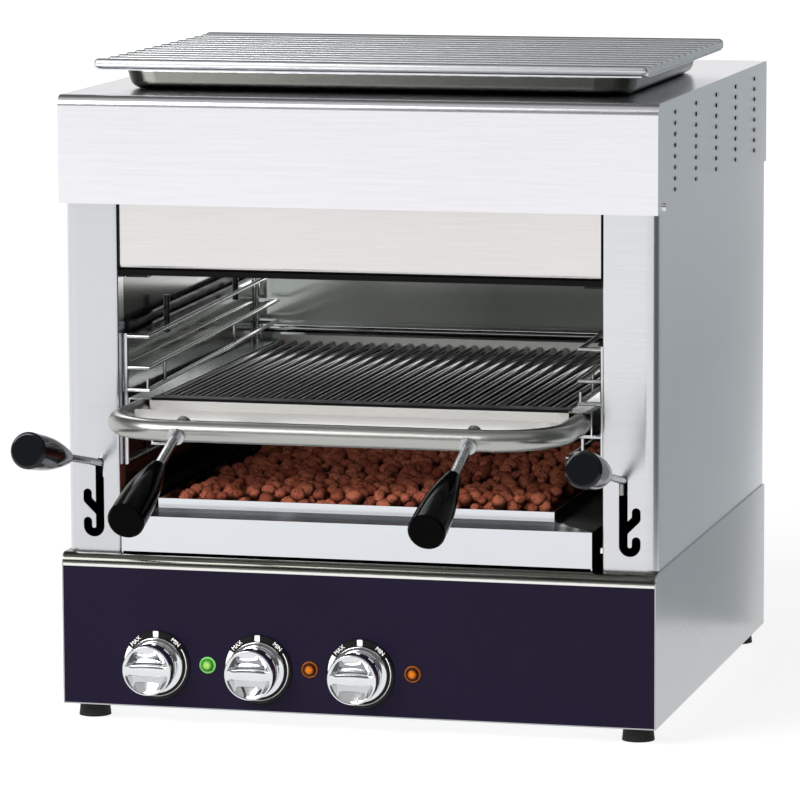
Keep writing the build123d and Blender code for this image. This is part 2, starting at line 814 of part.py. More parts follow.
def rack_side():
    """Right-hand wire ladder: a frame on the wall, runners with ties, a low hanger and two lift pins."""
    low, high = deck_z + rack_foot_up, deck_z + rack_head_up
    rear_high = deck_z + runner_ups[-1] + runner_rise
    ladder = bent_wire([(upright_x, rack_front, high), (upright_x, rack_front, low),
                        (upright_x, rack_rear, low), (upright_x, rack_rear, rear_high)], upright_d)
    for up in runner_ups:
        z = deck_z + up
        rear_z = z if up == runner_ups[0] else z + runner_rise
        ladder += bent_wire([(upright_x, rack_front, z), (runner_x, rack_front, z),
                             (runner_x, rack_rear, rear_z), (upright_x, rack_rear, rear_z)], wire_d)
    tie_d = wire_d * tie_wire_share
    for share in tie_shares:
        y = rack_front + share * (rack_rear - rack_front)
        tie = [(runner_x, y, deck_z + up + share * runner_rise) for up in runner_ups[1:3]]
        ladder += round_bar(tie[0], tie[1], tie_d)
    stop = deck_z + runner_ups[1]
    ladder += round_bar((runner_x, rack_front, stop), (runner_x, rack_front, stop + stop_h), tie_d)
    z = deck_z + runner_ups[0]
    front, rear = rack_front + hanger_back, rack_rear - hanger_back
    inner = runner_x - hanger_in
    low_z = z - hanger_drop
    hanger = [(runner_x, front, z), (runner_x, front, low_z), (inner, front, low_z),
              (inner, rear, low_z), (runner_x, rear, low_z), (runner_x, rear, z)]
    ladder += bent_wire(hanger, wire_d * hanger_wire_share)
    for y in lift_pin_ys:
        ladder += round_bar((upright_x, y, low), (plate_x, y, low), lift_pin_d)
    return ladder


def rack_cross_rod():
    """Bright rod behind the grill that ties the two ladders together."""
    y = rack_rear + upright_d / 2 + weld_gap + cross_rod_d / 2
    z = deck_z + cross_rod_up
    return round_bar((-upright_x, y, z), (upright_x, y, z), cross_rod_d)


def lift_plate():
    """Right-hand plate behind the wall: pinned to the ladder, with a leg on the lever's roller."""
    tip = lever_point(post_y + pivot_back + tip_back)
    z0 = deck_z + rack_foot_up - lift_plate_h / 2
    z1 = z0 + lift_plate_h
    foot = tip.Z + roller_d / 2 + lie_gap
    y0, y1 = lift_pin_ys[0] - lift_plate_over, lift_pin_ys[1] + lift_plate_over
    leg0, leg1 = tip.Y - lift_leg_w / 2, tip.Y + lift_leg_w / 2
    outline = Polyline((y0, z0), (leg0, z0), (leg0, foot), (leg1, foot),
                       (leg1, z0), (y1, z0), (y1, z1), (y0, z1), close=True)
    plane = Plane.YZ.offset(plate_x)
    return extrude(plane * make_face(outline), amount=lift_plate_t, dir=(1, 0, 0))


def grill_rail():
    """Right-hand channel of the grill, open inwards, that slides between two runners."""
    points = [(rail_inner, rail_low), (rail_web_x, rail_low), (rail_web_x, rail_top), (rail_inner, rail_top)]
    plane = Plane((0, rail_front, 0), x_dir=(1, 0, 0), z_dir=(0, -1, 0))
    face = plane * Face(Polyline(*points).offset_2d(sheet, side=Side.LEFT))
    return extrude(face, amount=rail_rear - rail_front, dir=(0, 1, 0))


def rod_xs():
    """Places of the grill rods across the grill."""
    return [(i - (rod_count - 1) / 2) * rod_pitch for i in range(rod_count)]


def grill_rods():
    """Round bars from front to rear, turned down at the rear on to the rear bar."""
    return [bent_wire([(x, rod_front, rod_z), (x, rod_rear, rod_z), (x, rod_rear, rod_z - rod_heel)], rod_d)
            for x in rod_xs()]


def grill_front_bar():
    """Flat bar that the rods butt against at the front, welded between the side rails."""
    edge = rail_inner - weld_gap
    top = rod_z + rod_d / 2
    return block(-edge, edge, rod_front - front_bar_w, rod_front, top - front_bar_h, top)


def grill_rear_bar():
    """Bar under the rods' turned-down ends, set into both rails, with an upright flange behind them."""
    edge = rail_web_x - sheet - weld_gap
    top = rod_z - rod_heel
    rear = rod_rear + rear_bar_w / 2
    bar = block(-edge, edge, rear - rear_bar_w, rear, top - rear_bar_h, top)
    inner = rail_inner - weld_gap
    return bar + block(-inner, inner, rear - rear_flange_t, rear, top, top + rear_flange_h)


def drip_channel():
    """Trough across the front of the grill, between the arms of the handle tube."""
    into_bend = max(0, tube_y + tube_bend - channel_front)
    arm_inside = tube_x - tube_bend + math.sqrt((tube_bend - tube_d / 2) ** 2 - into_bend ** 2)
    edge = arm_inside - weld_gap
    low = rail_low
    points = [(channel_front, low + channel_wall_front), (channel_front, low), (channel_rear, low),
              (channel_rear, low + channel_wall_rear)]
    return folded(points, channel_bend, Plane.YZ.offset(-edge), 2 * edge, Side.LEFT)


def grill_tube():
    """Handle tube across the front, bent back into the side rails, with holes for the pull rods."""
    back = rail_front + tube_hold
    points = [(-tube_x, back, tube_z), (-tube_x, tube_y, tube_z),
              (tube_x, tube_y, tube_z), (tube_x, back, tube_z)]
    tube = bent_tube(points, tube_bend, tube_d)
    for x in (-pull_x, pull_x):
        tube -= round_bar(tuple(pull_point(x, -tube_d)), tuple(pull_point(x, tube_d)),
                          pull_rod_d + 2 * turn_fit)
    return tube


def pull_way():
    """Unit direction of the pull rods, forwards and down."""
    fall = math.radians(pull_fall)
    return Vector(0, -math.cos(fall), -math.sin(fall))


def pull_point(x, along):
    """Point on a pull rod, measured from the middle of the tube."""
    return Vector(x, tube_y, tube_z) + pull_way() * along


def pull_end():
    """Distance from the tube's middle to the end of a pull grip."""
    return tube_d / 2 + lie_gap + pull_washer_t + pull_reach


def pull_rods():
    """Rods through the tube that carry the pull grips."""
    back = -tube_d / 2 - cap_nut_h + cap_nut_bevel
    front = pull_end() - pull_grip_l + grip_hold
    return [round_bar(tuple(pull_point(x, back)), tuple(pull_point(x, front)), pull_rod_d)
            for x in (-pull_x, pull_x)]


def pull_grips():
    """Tapered grips on the pull rods."""
    return [grip(pull_point(x, pull_end()), pull_way(), pull_grip_l, pull_rod_d) for x in (-pull_x, pull_x)]


def pull_nuts():
    """A washer in front of the tube and a cap nut behind it on each pull rod."""
    bore = pull_rod_d / 2 + turn_fit
    washer = [(bore, 0), (pull_washer_d / 2, 0), (pull_washer_d / 2, pull_washer_t), (bore, pull_washer_t)]
    r, h = cap_nut_d / 2, cap_nut_h
    nut = [(bore, 0), (r, 0), (r, h - cap_nut_bevel), (r - cap_nut_bevel, h), (0, h),
           (0, h - cap_nut_bevel + lie_gap), (bore, h - cap_nut_bevel + lie_gap)]
    pieces = []
    for x in (-pull_x, pull_x):
        pieces.append(turned(washer, tuple(pull_point(x, tube_d / 2 + lie_gap)), tuple(pull_way())))
        pieces.append(turned(nut, tuple(pull_point(x, -tube_d / 2 - lie_gap)), tuple(-pull_way())))
    return pieces


def lava_tray():
    """Drawer for the stones: front panel, ledges that rise to a sunken basin with a lip, side skirts."""
    skirt = deck_z + lie_gap
    outer = block(tray_left, tray_right, tray_y, tray_y + tray_d, skirt, tray_top)
    edge = Rectangle(tray_right - tray_left, tray_d)
    edge = Pos((tray_left + tray_right) / 2, tray_y + tray_d / 2, tray_top) * edge
    rim = Rectangle(basin_right - basin_left, basin_d)
    rim = Pos((basin_left + basin_right) / 2, basin_y + basin_d / 2, tray_top + ledge_rise) * rim
    outer += loft([edge.face(), rim.face()])
    open_sides = [outer.faces().sort_by(Axis.Z)[0], outer.faces().sort_by(Axis.Y)[-1]]
    ledge = sheared_box(outer, open_sides)
    ledge -= block(tray_left - overrun, tray_right + overrun, tray_y - overrun, tray_y + sheet,
                   skirt - overrun, deck_z + tray_front_gap)
    well = block(basin_left, basin_right, basin_y, basin_y + basin_d, basin_z, tray_top + lip_h)
    basin = sheared_box(well, [well.faces().sort_by(Axis.Z)[-1]])
    return ledge - well + basin


def lava_bed():
    """Lower, packed layer of stones in the basin."""
    wall = sheet + lie_gap
    return block(basin_left + wall, basin_right - wall, basin_y + wall, basin_y + basin_d - wall,
                 basin_z + wall, bed_z)


def stone_shape(squash_y, squash_z):
    """Closed twenty-sided stone about the origin."""
    tall = math.sqrt(stone_ring_share)
    wide = math.sqrt(1 - stone_ring_share)
    rings = []
    for turn, high in ((0, tall), (math.pi / 5, -tall)):
        turns = [turn + 2 * math.pi * k / 5 for k in range(5)]
        rings.append([(wide * math.cos(a), wide * math.sin(a), high) for a in turns])
    top, bottom = (0, 0, 1), (0, 0, -1)
    triples = []
    for k in range(5):
        n = (k + 1) % 5
        triples += [(top, rings[0][k], rings[0][n]), (rings[0][k], rings[1][k], rings[0][n]),
                    (rings[0][n], rings[1][k], rings[1][n]), (bottom, rings[1][n], rings[1][k])]
    r = stone_d / 2
    faces = [Face(Wire.make_polygon([(r * x, r * squash_y * y, r * squash_z * z) for x, y, z in three]))
             for three in triples]
    return Solid(Shell(faces))


def lava_stones():
    """Loose top layer of stones, in staggered rows, each turned its own way."""
    rng = random.Random(11)
    shapes = [stone_shape(rng.uniform(*stone_squash_shares), rng.uniform(*stone_squash_shares))
              for _ in range(stone_shapes)]
    cell = stone_d + stone_gap
    rows = int((basin_d - 2 * sheet - cell) / (cell * stone_row_share)) + 1
    columns = int((basin_right - basin_left - 2 * sheet - cell / 2) / cell)
    x0 = (basin_left + basin_right - (columns - 1 / 2) * cell) / 2
    y0 = basin_y + (basin_d - (rows - 1) * cell * stone_row_share) / 2
    stones = []
    for j in range(rows):
        for i in range(columns):
            stone = Rot(rng.uniform(0, 360), rng.uniform(0, 360), rng.uniform(0, 360)) * rng.choice(shapes)
            low = stone.bounding_box().min.Z
            stones.append(Pos(x0 + (i + j % 2 / 2) * cell, y0 + j * cell * stone_row_share,
                              bed_z + weld_gap - low) * stone)
    return stones


def top_pan():
    """Shallow pan with sloped sides and a flat rim, standing on the hood."""
    x1 = pan_x - pan_rim
    d1 = pan_d - 2 * pan_rim
    middle = pan_y + pan_d / 2

    def dish(floor_z, shrink, bend):
        foot = shrink + pan_slope
        low = RectangleRounded(2 * (x1 - foot), d1 - 2 * foot, pan_corner - shrink)
        high = RectangleRounded(2 * (x1 - shrink), d1 - 2 * shrink, pan_corner - shrink)
        form = loft([Pos(0, middle, floor_z) * low, Pos(0, middle, pan_rim_z) * high])
        return fillet(form.faces().sort_by(Axis.Z)[0].edges(), bend)

    outer = dish(pan_floor_z, 0, pan_round)
    inner = dish(pan_floor_z + sheet, sheet, pan_round - sheet)
    rim = extrude(Pos(0, middle, pan_rim_z) * RectangleRounded(2 * pan_x, pan_d, pan_rim_corner),
                  amount=sheet, dir=(0, 0, -1))
    return rim + outer - inner


def top_grid():
    """Wire grid that lies on the pan: two flat side rails, round end bars and cross bars."""
    z0 = pan_rim_z + lie_gap
    middle = pan_y + pan_d / 2
    inner = pan_x - grid_rail_w
    bar_z = z0 + grid_rail_h - grid_bar_d / 2 * grid_sink_share
    grid = block(inner, pan_x, pan_y, pan_y + pan_d, z0, z0 + grid_rail_h)
    grid += block(-pan_x, -inner, pan_y, pan_y + pan_d, z0, z0 + grid_rail_h)
    count = int((pan_d - 2 * grid_end_d - grid_bar_d) / grid_bar_pitch) + 1
    for i in range(count):
        y = middle + (i - (count - 1) / 2) * grid_bar_pitch
        grid += round_bar((-pan_x, y, bar_z), (pan_x, y, bar_z), grid_bar_d)
    for y in (pan_y + grid_end_d / 2, pan_y + pan_d - grid_end_d / 2):
        grid += round_bar((-inner, y, z0 + grid_end_d / 2), (inner, y, z0 + grid_end_d / 2), grid_end_d)
    return grid


nodes = {
    "base_shell": base_shell(),
    "control_panel": control_panel(),
    "deck_plate": deck_plate(),
    "feet": feet(),
    "foot_studs": foot_studs(),
    "side_panel_left": left_of(side_panel()),
    "side_panel_right": side_panel(),
    "back_panel": back_panel(),
    "hood": hood(),
    "hood_screws": hood_screws(),
    "inner_fascia": inner_fascia(),
    "liner_left": left_of(liner_side()),
    "liner_right": liner_side(),
    "liner_rear": liner_rear(),
    "ceiling_reflector": ceiling_reflector(),
    "heater_rails": heater_rails(),
    "upper_heaters": upper_heaters(),
    "heater_hooks": heater_hooks(),
    "lower_heaters": lower_heaters(),
    "heater_rests": heater_rests(),
    "regulators": regulators(),
    "dial_rings": dial_rings(),
    "lamp_housings": [lamp_housing(x) for x in lamp_xs],
    "green_lens": lamp_lens(lamp_xs[0]),
    "amber_lenses": [lamp_lens(x) for x in lamp_xs[1:]],
    "cable_gland": cable_gland(),
    "terminal_block": terminal_block(),
    "lever_pivots": lever_pivots(),
    "lever_rod_left": left_of(lever_rod()),
    "lever_rod_right": lever_rod(),
    "lever_grip_left": left_of(lever_grip()),
    "lever_grip_right": lever_grip(),
    "lift_roller_left": left_of(lift_roller()),
    "lift_roller_right": lift_roller(),
    "rack_left": left_of(rack_side()),
    "rack_right": rack_side(),
    "rack_cross_rod": rack_cross_rod(),
    "lift_plate_left": left_of(lift_plate()),
    "lift_plate_right": lift_plate(),
    "grill_rail_left": left_of(grill_rail()),
    "grill_rail_right": grill_rail(),
    "grill_rods": grill_rods(),
    "grill_front_bar": grill_front_bar(),
    "grill_rear_bar": grill_rear_bar(),
    "drip_channel": drip_channel(),
    "grill_tube": grill_tube(),
    "pull_rods": pull_rods(),
    "pull_grips": pull_grips(),
    "pull_nuts": pull_nuts(),
    "lava_tray": lava_tray(),
    "lava_bed": lava_bed(),
    "lava_stones": lava_stones(),
    "top_pan": top_pan(),
    "top_grid": top_grid(),
}
for name, x in zip(("left", "middle", "right"), knob_xs):
    nodes["knob_" + name] = knob(x)
    nodes["shaft_" + name] = shaft(x)

# The origin lies on the floor, midway between the front of the pull grips and the rear of the gland
front_reach = pull_point(0, pull_end()).Y - grip_d_end / 2 * math.sin(math.radians(pull_fall))
rear_reach = body_d + gland_nut_h + gland_dome_h
origin_y = (front_reach + rear_reach) / 2
print("origin is", round(origin_y, 3), "mm behind the hood's front; lift travel", round(lift_travel(), 3),
      "mm; lever swing", round(lever_swing(), 4), "degrees")

os.makedirs("parts", exist_ok=True)
for name, shape in nodes.items():
    pieces = shape if isinstance(shape, list) else [shape]
    solids = [solid for piece in pieces for solid in piece.solids()]
    whole = solids[0] if len(solids) == 1 else Compound(children=solids)
    export_step(Pos(0, -origin_y, 0) * whole, "parts/" + name + ".step")
print(len(nodes), "nodes written")
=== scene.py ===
# %% [markdown]
# # An electric grill with a lava drawer
# The CAD frame already holds every solid of the grill in its right place, in metres. This lesson dresses it:
# it puts the camera where the photographer stood, gives each piece the finish of its real material, and models
# the things that a CAD solid can't show, such as heaped stones and printed dial marks.

# %% Load the frame
import math

import bmesh
import bpy
from mathutils import Matrix, Vector


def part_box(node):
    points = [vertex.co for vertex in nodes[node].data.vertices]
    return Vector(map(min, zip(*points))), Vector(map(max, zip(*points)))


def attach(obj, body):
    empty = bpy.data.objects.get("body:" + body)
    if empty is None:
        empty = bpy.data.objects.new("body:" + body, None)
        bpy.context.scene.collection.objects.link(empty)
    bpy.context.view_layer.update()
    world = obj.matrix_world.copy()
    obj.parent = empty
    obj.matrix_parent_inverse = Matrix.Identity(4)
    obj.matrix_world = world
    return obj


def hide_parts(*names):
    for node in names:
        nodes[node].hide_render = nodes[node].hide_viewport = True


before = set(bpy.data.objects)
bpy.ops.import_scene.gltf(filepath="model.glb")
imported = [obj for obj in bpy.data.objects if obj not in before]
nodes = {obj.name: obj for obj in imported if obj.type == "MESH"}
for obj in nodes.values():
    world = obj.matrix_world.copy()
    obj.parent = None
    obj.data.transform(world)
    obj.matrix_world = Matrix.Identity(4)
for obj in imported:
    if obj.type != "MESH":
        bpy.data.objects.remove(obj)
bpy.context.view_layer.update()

MM = 0.001
skin_depth = 0.1 * MM
scene = bpy.context.scene

# %% [markdown]
# ## Camera
# The straight edges of the body gave the photographer's place: 4.6 m in front, to the right and a little above,
# with a long lens. A camera looks along its own -Z axis, so its matrix has the view's right, up and backward
# directions as columns. This way the three angles stay readable, which a quaternion wouldn't.

# %% Place the camera
hood_low, hood_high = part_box("hood")
camera_place = Vector((1.19662, hood_low.y - 4.51007, 0.96889))
yaw, pitch, roll = 0.2504, 0.1399, -0.0045
forward = Vector((-math.sin(yaw) * math.cos(pitch), math.cos(yaw) * math.cos(pitch), -math.sin(pitch)))
level_right = Vector((math.cos(yaw), math.sin(yaw), 0))
level_up = level_right.cross(forward)
view_right = math.cos(roll) * level_right + math.sin(roll) * level_up
view_up = math.cos(roll) * level_up - math.sin(roll) * level_right

camera_data = bpy.data.cameras.new("photo_camera")
camera_data.sensor_width = 36.0
camera_data.lens = 229.42
camera_data.clip_end = 200.0
camera = bpy.data.objects.new("photo_camera", camera_data)
camera.matrix_world = Matrix((view_right, view_up, -forward)).transposed().to_4x4()
camera.location = camera_place
scene.collection.objects.link(camera)
scene.camera = camera
print("camera", [round(v, 3) for v in camera_place], "lens", camera_data.lens)

# %% [markdown]
# ## Two small helpers for materials
# Colours are written as sRGB hex values, as a paint programme shows them. Shader sockets take linear light, so
# one function converts them. The other adds a node: a value that is a socket is linked, any other value is set on
# the input. Mix and Random Value have several sockets of one name, so theirs go by number.

# %% Helpers for colours and nodes
def linear(hex_code):
    """sRGB hex colour as the linear RGBA value that a shader socket takes."""
    parts = [int(hex_code[i:i + 2], 16) / 255 for i in (1, 3, 5)]
    return [p / 12.92 if p <= 0.04045 else ((p + 0.055) / 1.055) ** 2.4 for p in parts] + [1.0]


def add(tree, kind, inputs=None, **settings):
    """A new node in a tree, with its settings and its inputs, which are values or sockets to link."""
    node = tree.nodes.new(kind)
    for name, value in settings.items():
        setattr(node, name, value)
    for name, value in (inputs or {}).items():
        if isinstance(value, bpy.types.NodeSocket):
            tree.links.new(value, node.inputs[name])
        else:
            node.inputs[name].default_value = value
    return node


def new_finish(name):
    """A material with its tree and its principled shader."""
    material = bpy.data.materials.new(name)
    material.use_nodes = True
    return material, material.node_tree, material.node_tree.nodes["Principled BSDF"]


print("mid grey #808080 is", round(linear("#808080")[0], 3), "in linear light")

# %% [markdown]
# ## Floor
# The photograph is a cut-out on white. A large grey floor reaches past everything that the camera sees. It takes
# the light, and so the shadow, like any surface, and a light of its own lifts it to white for camera, glossy and
# transmission rays. Steel mirrors it a little darker than the camera sees it. Far away the lamps no longer reach
# it, so there both lifts are stronger.

# %% Floor material
floor_material, tree, shader = new_finish("studio_floor")
shader.inputs["Base Color"].default_value = linear("#B4B4B4")
shader.inputs["Roughness"].default_value = 0.9
shader.inputs["Specular IOR Level"].default_value = 0.0
rays = add(tree, "ShaderNodeLightPath")
place = add(tree, "ShaderNodeTexCoord")
distance = add(tree, "ShaderNodeVectorMath", {0: place.outputs["Object"]}, operation="LENGTH")
near_m, far_m = 1.0, 7.0
reach = {}
for kind, near, far in (("camera", 0.80, 1.0), ("mirror", 0.71, 0.90)):
    reach[kind] = add(tree, "ShaderNodeMapRange", {"Value": distance.outputs["Value"], "From Min": near_m,
                                                   "From Max": far_m, "To Min": near, "To Max": far}).outputs[0]
mirrored = add(tree, "ShaderNodeMath", {0: rays.outputs["Is Glossy Ray"], 1: rays.outputs["Is Transmission Ray"]},
               operation="MAXIMUM")
mirrored = add(tree, "ShaderNodeMath", {0: mirrored.outputs[0], 1: reach["mirror"]}, operation="MULTIPLY")
lift = add(tree, "ShaderNodeMath", {0: rays.outputs["Is Camera Ray"], 1: reach["camera"], 2: mirrored.outputs[0]},
           operation="MULTIPLY_ADD")
shader.inputs["Emission Color"].default_value = linear("#FFFFFF")
tree.links.new(lift.outputs[0], shader.inputs["Emission Strength"])
print("floor material with", len(tree.nodes), "nodes")

# %% Floor sheet
floor_half = 60.0
floor_mesh = bpy.data.meshes.new("studio_floor")
floor_mesh.from_pydata([(-floor_half, -floor_half, 0), (floor_half, -floor_half, 0),
                        (floor_half, floor_half, 0), (-floor_half, floor_half, 0)], [], [(0, 1, 2, 3)])
floor_mesh.materials.append(floor_material)
floor = bpy.data.objects.new("studio_floor", floor_mesh)
scene.collection.objects.link(floor)
print("floor", 2 * floor_half, "m wide")

# %% [markdown]
# ## World
# Polished steel takes its shape from what it mirrors. Behind the grill the backdrop is white at the horizon and
# dark overhead, so a bend that turns upwards shows a dark band. In front, the room is dark from just above the
# horizon, with a lighter ceiling. Each level is a strength that goes from a first to a last value along one axis
# of the view direction. The camera itself sees plain white.

# %% World
world = bpy.data.worlds.new("studio_world")
world.use_nodes = True
scene.world = world
tree = world.node_tree
tree.nodes.clear()
direction = add(tree, "ShaderNodeTexCoord")
axes = add(tree, "ShaderNodeSeparateXYZ", {0: direction.outputs["Generated"]})
level_ranges = {"backdrop": ("Z", 0.14, 0.46, 1.0, 0.12), "room": ("Z", 0.0, 0.12, 1.0, 0.14),
                "ceiling": ("Z", 0.40, 0.75, 0.0, 0.35), "behind": ("Y", -0.25, 0.25, 0.0, 1.0)}
levels = {}
for kind, (axis, start, stop, first, last) in level_ranges.items():
    levels[kind] = add(tree, "ShaderNodeMapRange", {"Value": axes.outputs[axis], "From Min": start,
                                                    "From Max": stop, "To Min": first, "To Max": last},
                       interpolation_type="SMOOTHSTEP").outputs[0]
before = add(tree, "ShaderNodeMath", {0: levels["room"], 1: levels["ceiling"]}, operation="ADD")
around = add(tree, "ShaderNodeMix", {0: levels["behind"], 2: before.outputs[0], 3: levels["backdrop"]})
studio = add(tree, "ShaderNodeBackground", {"Color": linear("#FFFFFF"), "Strength": around.outputs[0]})
white = add(tree, "ShaderNodeBackground", {"Color": linear("#FFFFFF"), "Strength": 1.0})
rays = add(tree, "ShaderNodeLightPath")
chosen = add(tree, "ShaderNodeMixShader", {0: rays.outputs["Is Camera Ray"], 1: studio.outputs[0],
                                           2: white.outputs[0]})
add(tree, "ShaderNodeOutputWorld", {"Surface": chosen.outputs[0]})
print("world with", len(levels), "levels")

# %% [markdown]
# ## Softbox and fill
# A softbox stands high on the left. A fill lamp near the camera reaches into the cooking space. Glossy rays don't
# see it, so it lights stones and paint without a glare on the steel, and light linking keeps it off the floor.

# %% Softbox and fill
def area_lamp(name, wide, high, watts, place, target):
    """Rectangular lamp at a place, with its -Z axis towards a target."""
    data = bpy.data.lights.new(name, "AREA")
    data.shape = "RECTANGLE"
    data.size, data.size_y = wide, high
    data.energy = watts
    lamp = bpy.data.objects.new(name, data)
    turn = (Vector(target) - Vector(place)).to_track_quat("-Z", "Y")
    lamp.matrix_world = Matrix.Translation(place) @ turn.to_matrix().to_4x4()
    scene.collection.objects.link(lamp)
    return lamp


softbox = area_lamp("softbox", 3.0, 2.2, 120.0, (-2.6, -3.0, 2.9), (0.0, 0.0, 0.3))
fill = area_lamp("front_fill", 2.4, 1.6, 140.0, (-0.6, -3.6, 1.7), (0.0, 0.0, 0.25))
fill.visible_glossy = False
fill_receivers = bpy.data.collections.new("fill_receivers")
fill_receivers.objects.link(floor)
fill_receivers.collection_objects[0].light_linking.link_state = "EXCLUDE"
fill.light_linking.receiver_collection = fill_receivers
print("softbox", softbox.data.energy, "W, fill", fill.data.energy, "W")

# %% [markdown]
# ## Cards to be mirrored
# Photographers of metal set up cards that show only in the metal. Here these are glowing sheets for glossy rays
# alone: a grey one behind the right-hand side for the side panel, a darker one to the right for the round edges
# of the posts, a narrow bright one at the rear wall that draws a line along each grill rod, and one at the left
# wall that brightens the left end of the rear wall. From behind, a card lets light through.

# %% Cards
def mirror_card(name, corners, colour, strength):
    """Glowing sheet that only glossy rays see, and only from its front."""
    material, tree, shader = new_finish(name)
    tree.nodes.remove(shader)
    glow = add(tree, "ShaderNodeEmission", {"Color": linear(colour), "Strength": strength})
    clear = add(tree, "ShaderNodeBsdfTransparent")
    behind = add(tree, "ShaderNodeNewGeometry").outputs["Backfacing"]
    sided = add(tree, "ShaderNodeMixShader", {0: behind, 1: glow.outputs[0], 2: clear.outputs[0]})
    tree.links.new(sided.outputs[0], tree.nodes["Material Output"].inputs["Surface"])
    mesh = bpy.data.meshes.new(name)
    mesh.from_pydata(corners, [], [(0, 1, 2, 3)])
    mesh.materials.append(material)
    card = bpy.data.objects.new(name, mesh)
    scene.collection.objects.link(card)
    card.visible_camera = card.visible_diffuse = card.visible_shadow = card.visible_transmission = False


card_foot, back_y, wall_half = 0.001, 0.47, 0.225
mirror_card("grey_card", [(0.32, back_y, card_foot), (3.6, back_y, card_foot), (3.6, 1.6, 2.6), (0.32, 1.6, 2.6)],
            "#A6ACAE", 1.0)
wall_y, strip_low, strip_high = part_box("liner_rear")[0].y - 3 * MM, 0.354, 0.364
mirror_card("rod_card", [(-wall_half, wall_y, strip_low), (wall_half, wall_y, strip_low),
                         (wall_half, wall_y, strip_high), (-wall_half, wall_y, strip_high)], "#FFFFFF", 2.6)
side_x, side_front, side_low, side_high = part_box("liner_left")[1].x + 2 * MM, -0.04, 0.325, 0.42
mirror_card("wall_card", [(side_x, wall_y, side_low), (side_x, wall_y, side_high),
                          (side_x, side_front, side_high), (side_x, side_front, side_low)], "#F4FAF6", 0.6)
edge_x, edge_front, edge_high = 1.2, -0.6, 1.5
mirror_card("edge_card", [(edge_x, back_y, card_foot), (edge_x, edge_front, card_foot),
                          (edge_x, edge_front, edge_high), (edge_x, back_y, edge_high)], "#5A605D", 1.0)
print("four cards")

# %% [markdown]
# ## Stainless sheet
# Hood, posts, base and walls are folded from stainless sheet with a satin belt grain. Up close the grain is a set of
# fine scratches, about 0.1 mm wide and centimetres long. That is too fine for a picture where a millimetre is a
# pixel, so it is drawn ten times coarser. One noise texture, squeezed across the grain and stretched along it,
# drives the roughness, the tone and a faint bump. The grain lies level on upright faces; on flat faces it runs from
# side to side, so the direction is picked by the face's own normal. Use has left its traces: fat has browned the
# ends of the drip channel, and heat has dulled the walls under the hood. The lower walls turn nearly black towards
# the bottom. The other marks are painted light: painted shade in the drawer's inside, and the painted shade, painted
# highlights and painted reflections named at each finish below. Each mark is a colour that mixes in between two
# places along an axis, with a ragged edge, on all faces or only on those that look along an axis.

# %% Stainless sheet
scratch_mm, scratch_long_mm, cloud_mm, blotch_mm, ragged_mm = 1.0, 60, 150, 9, 24
facing_least, uneven = 0.8, 0.15


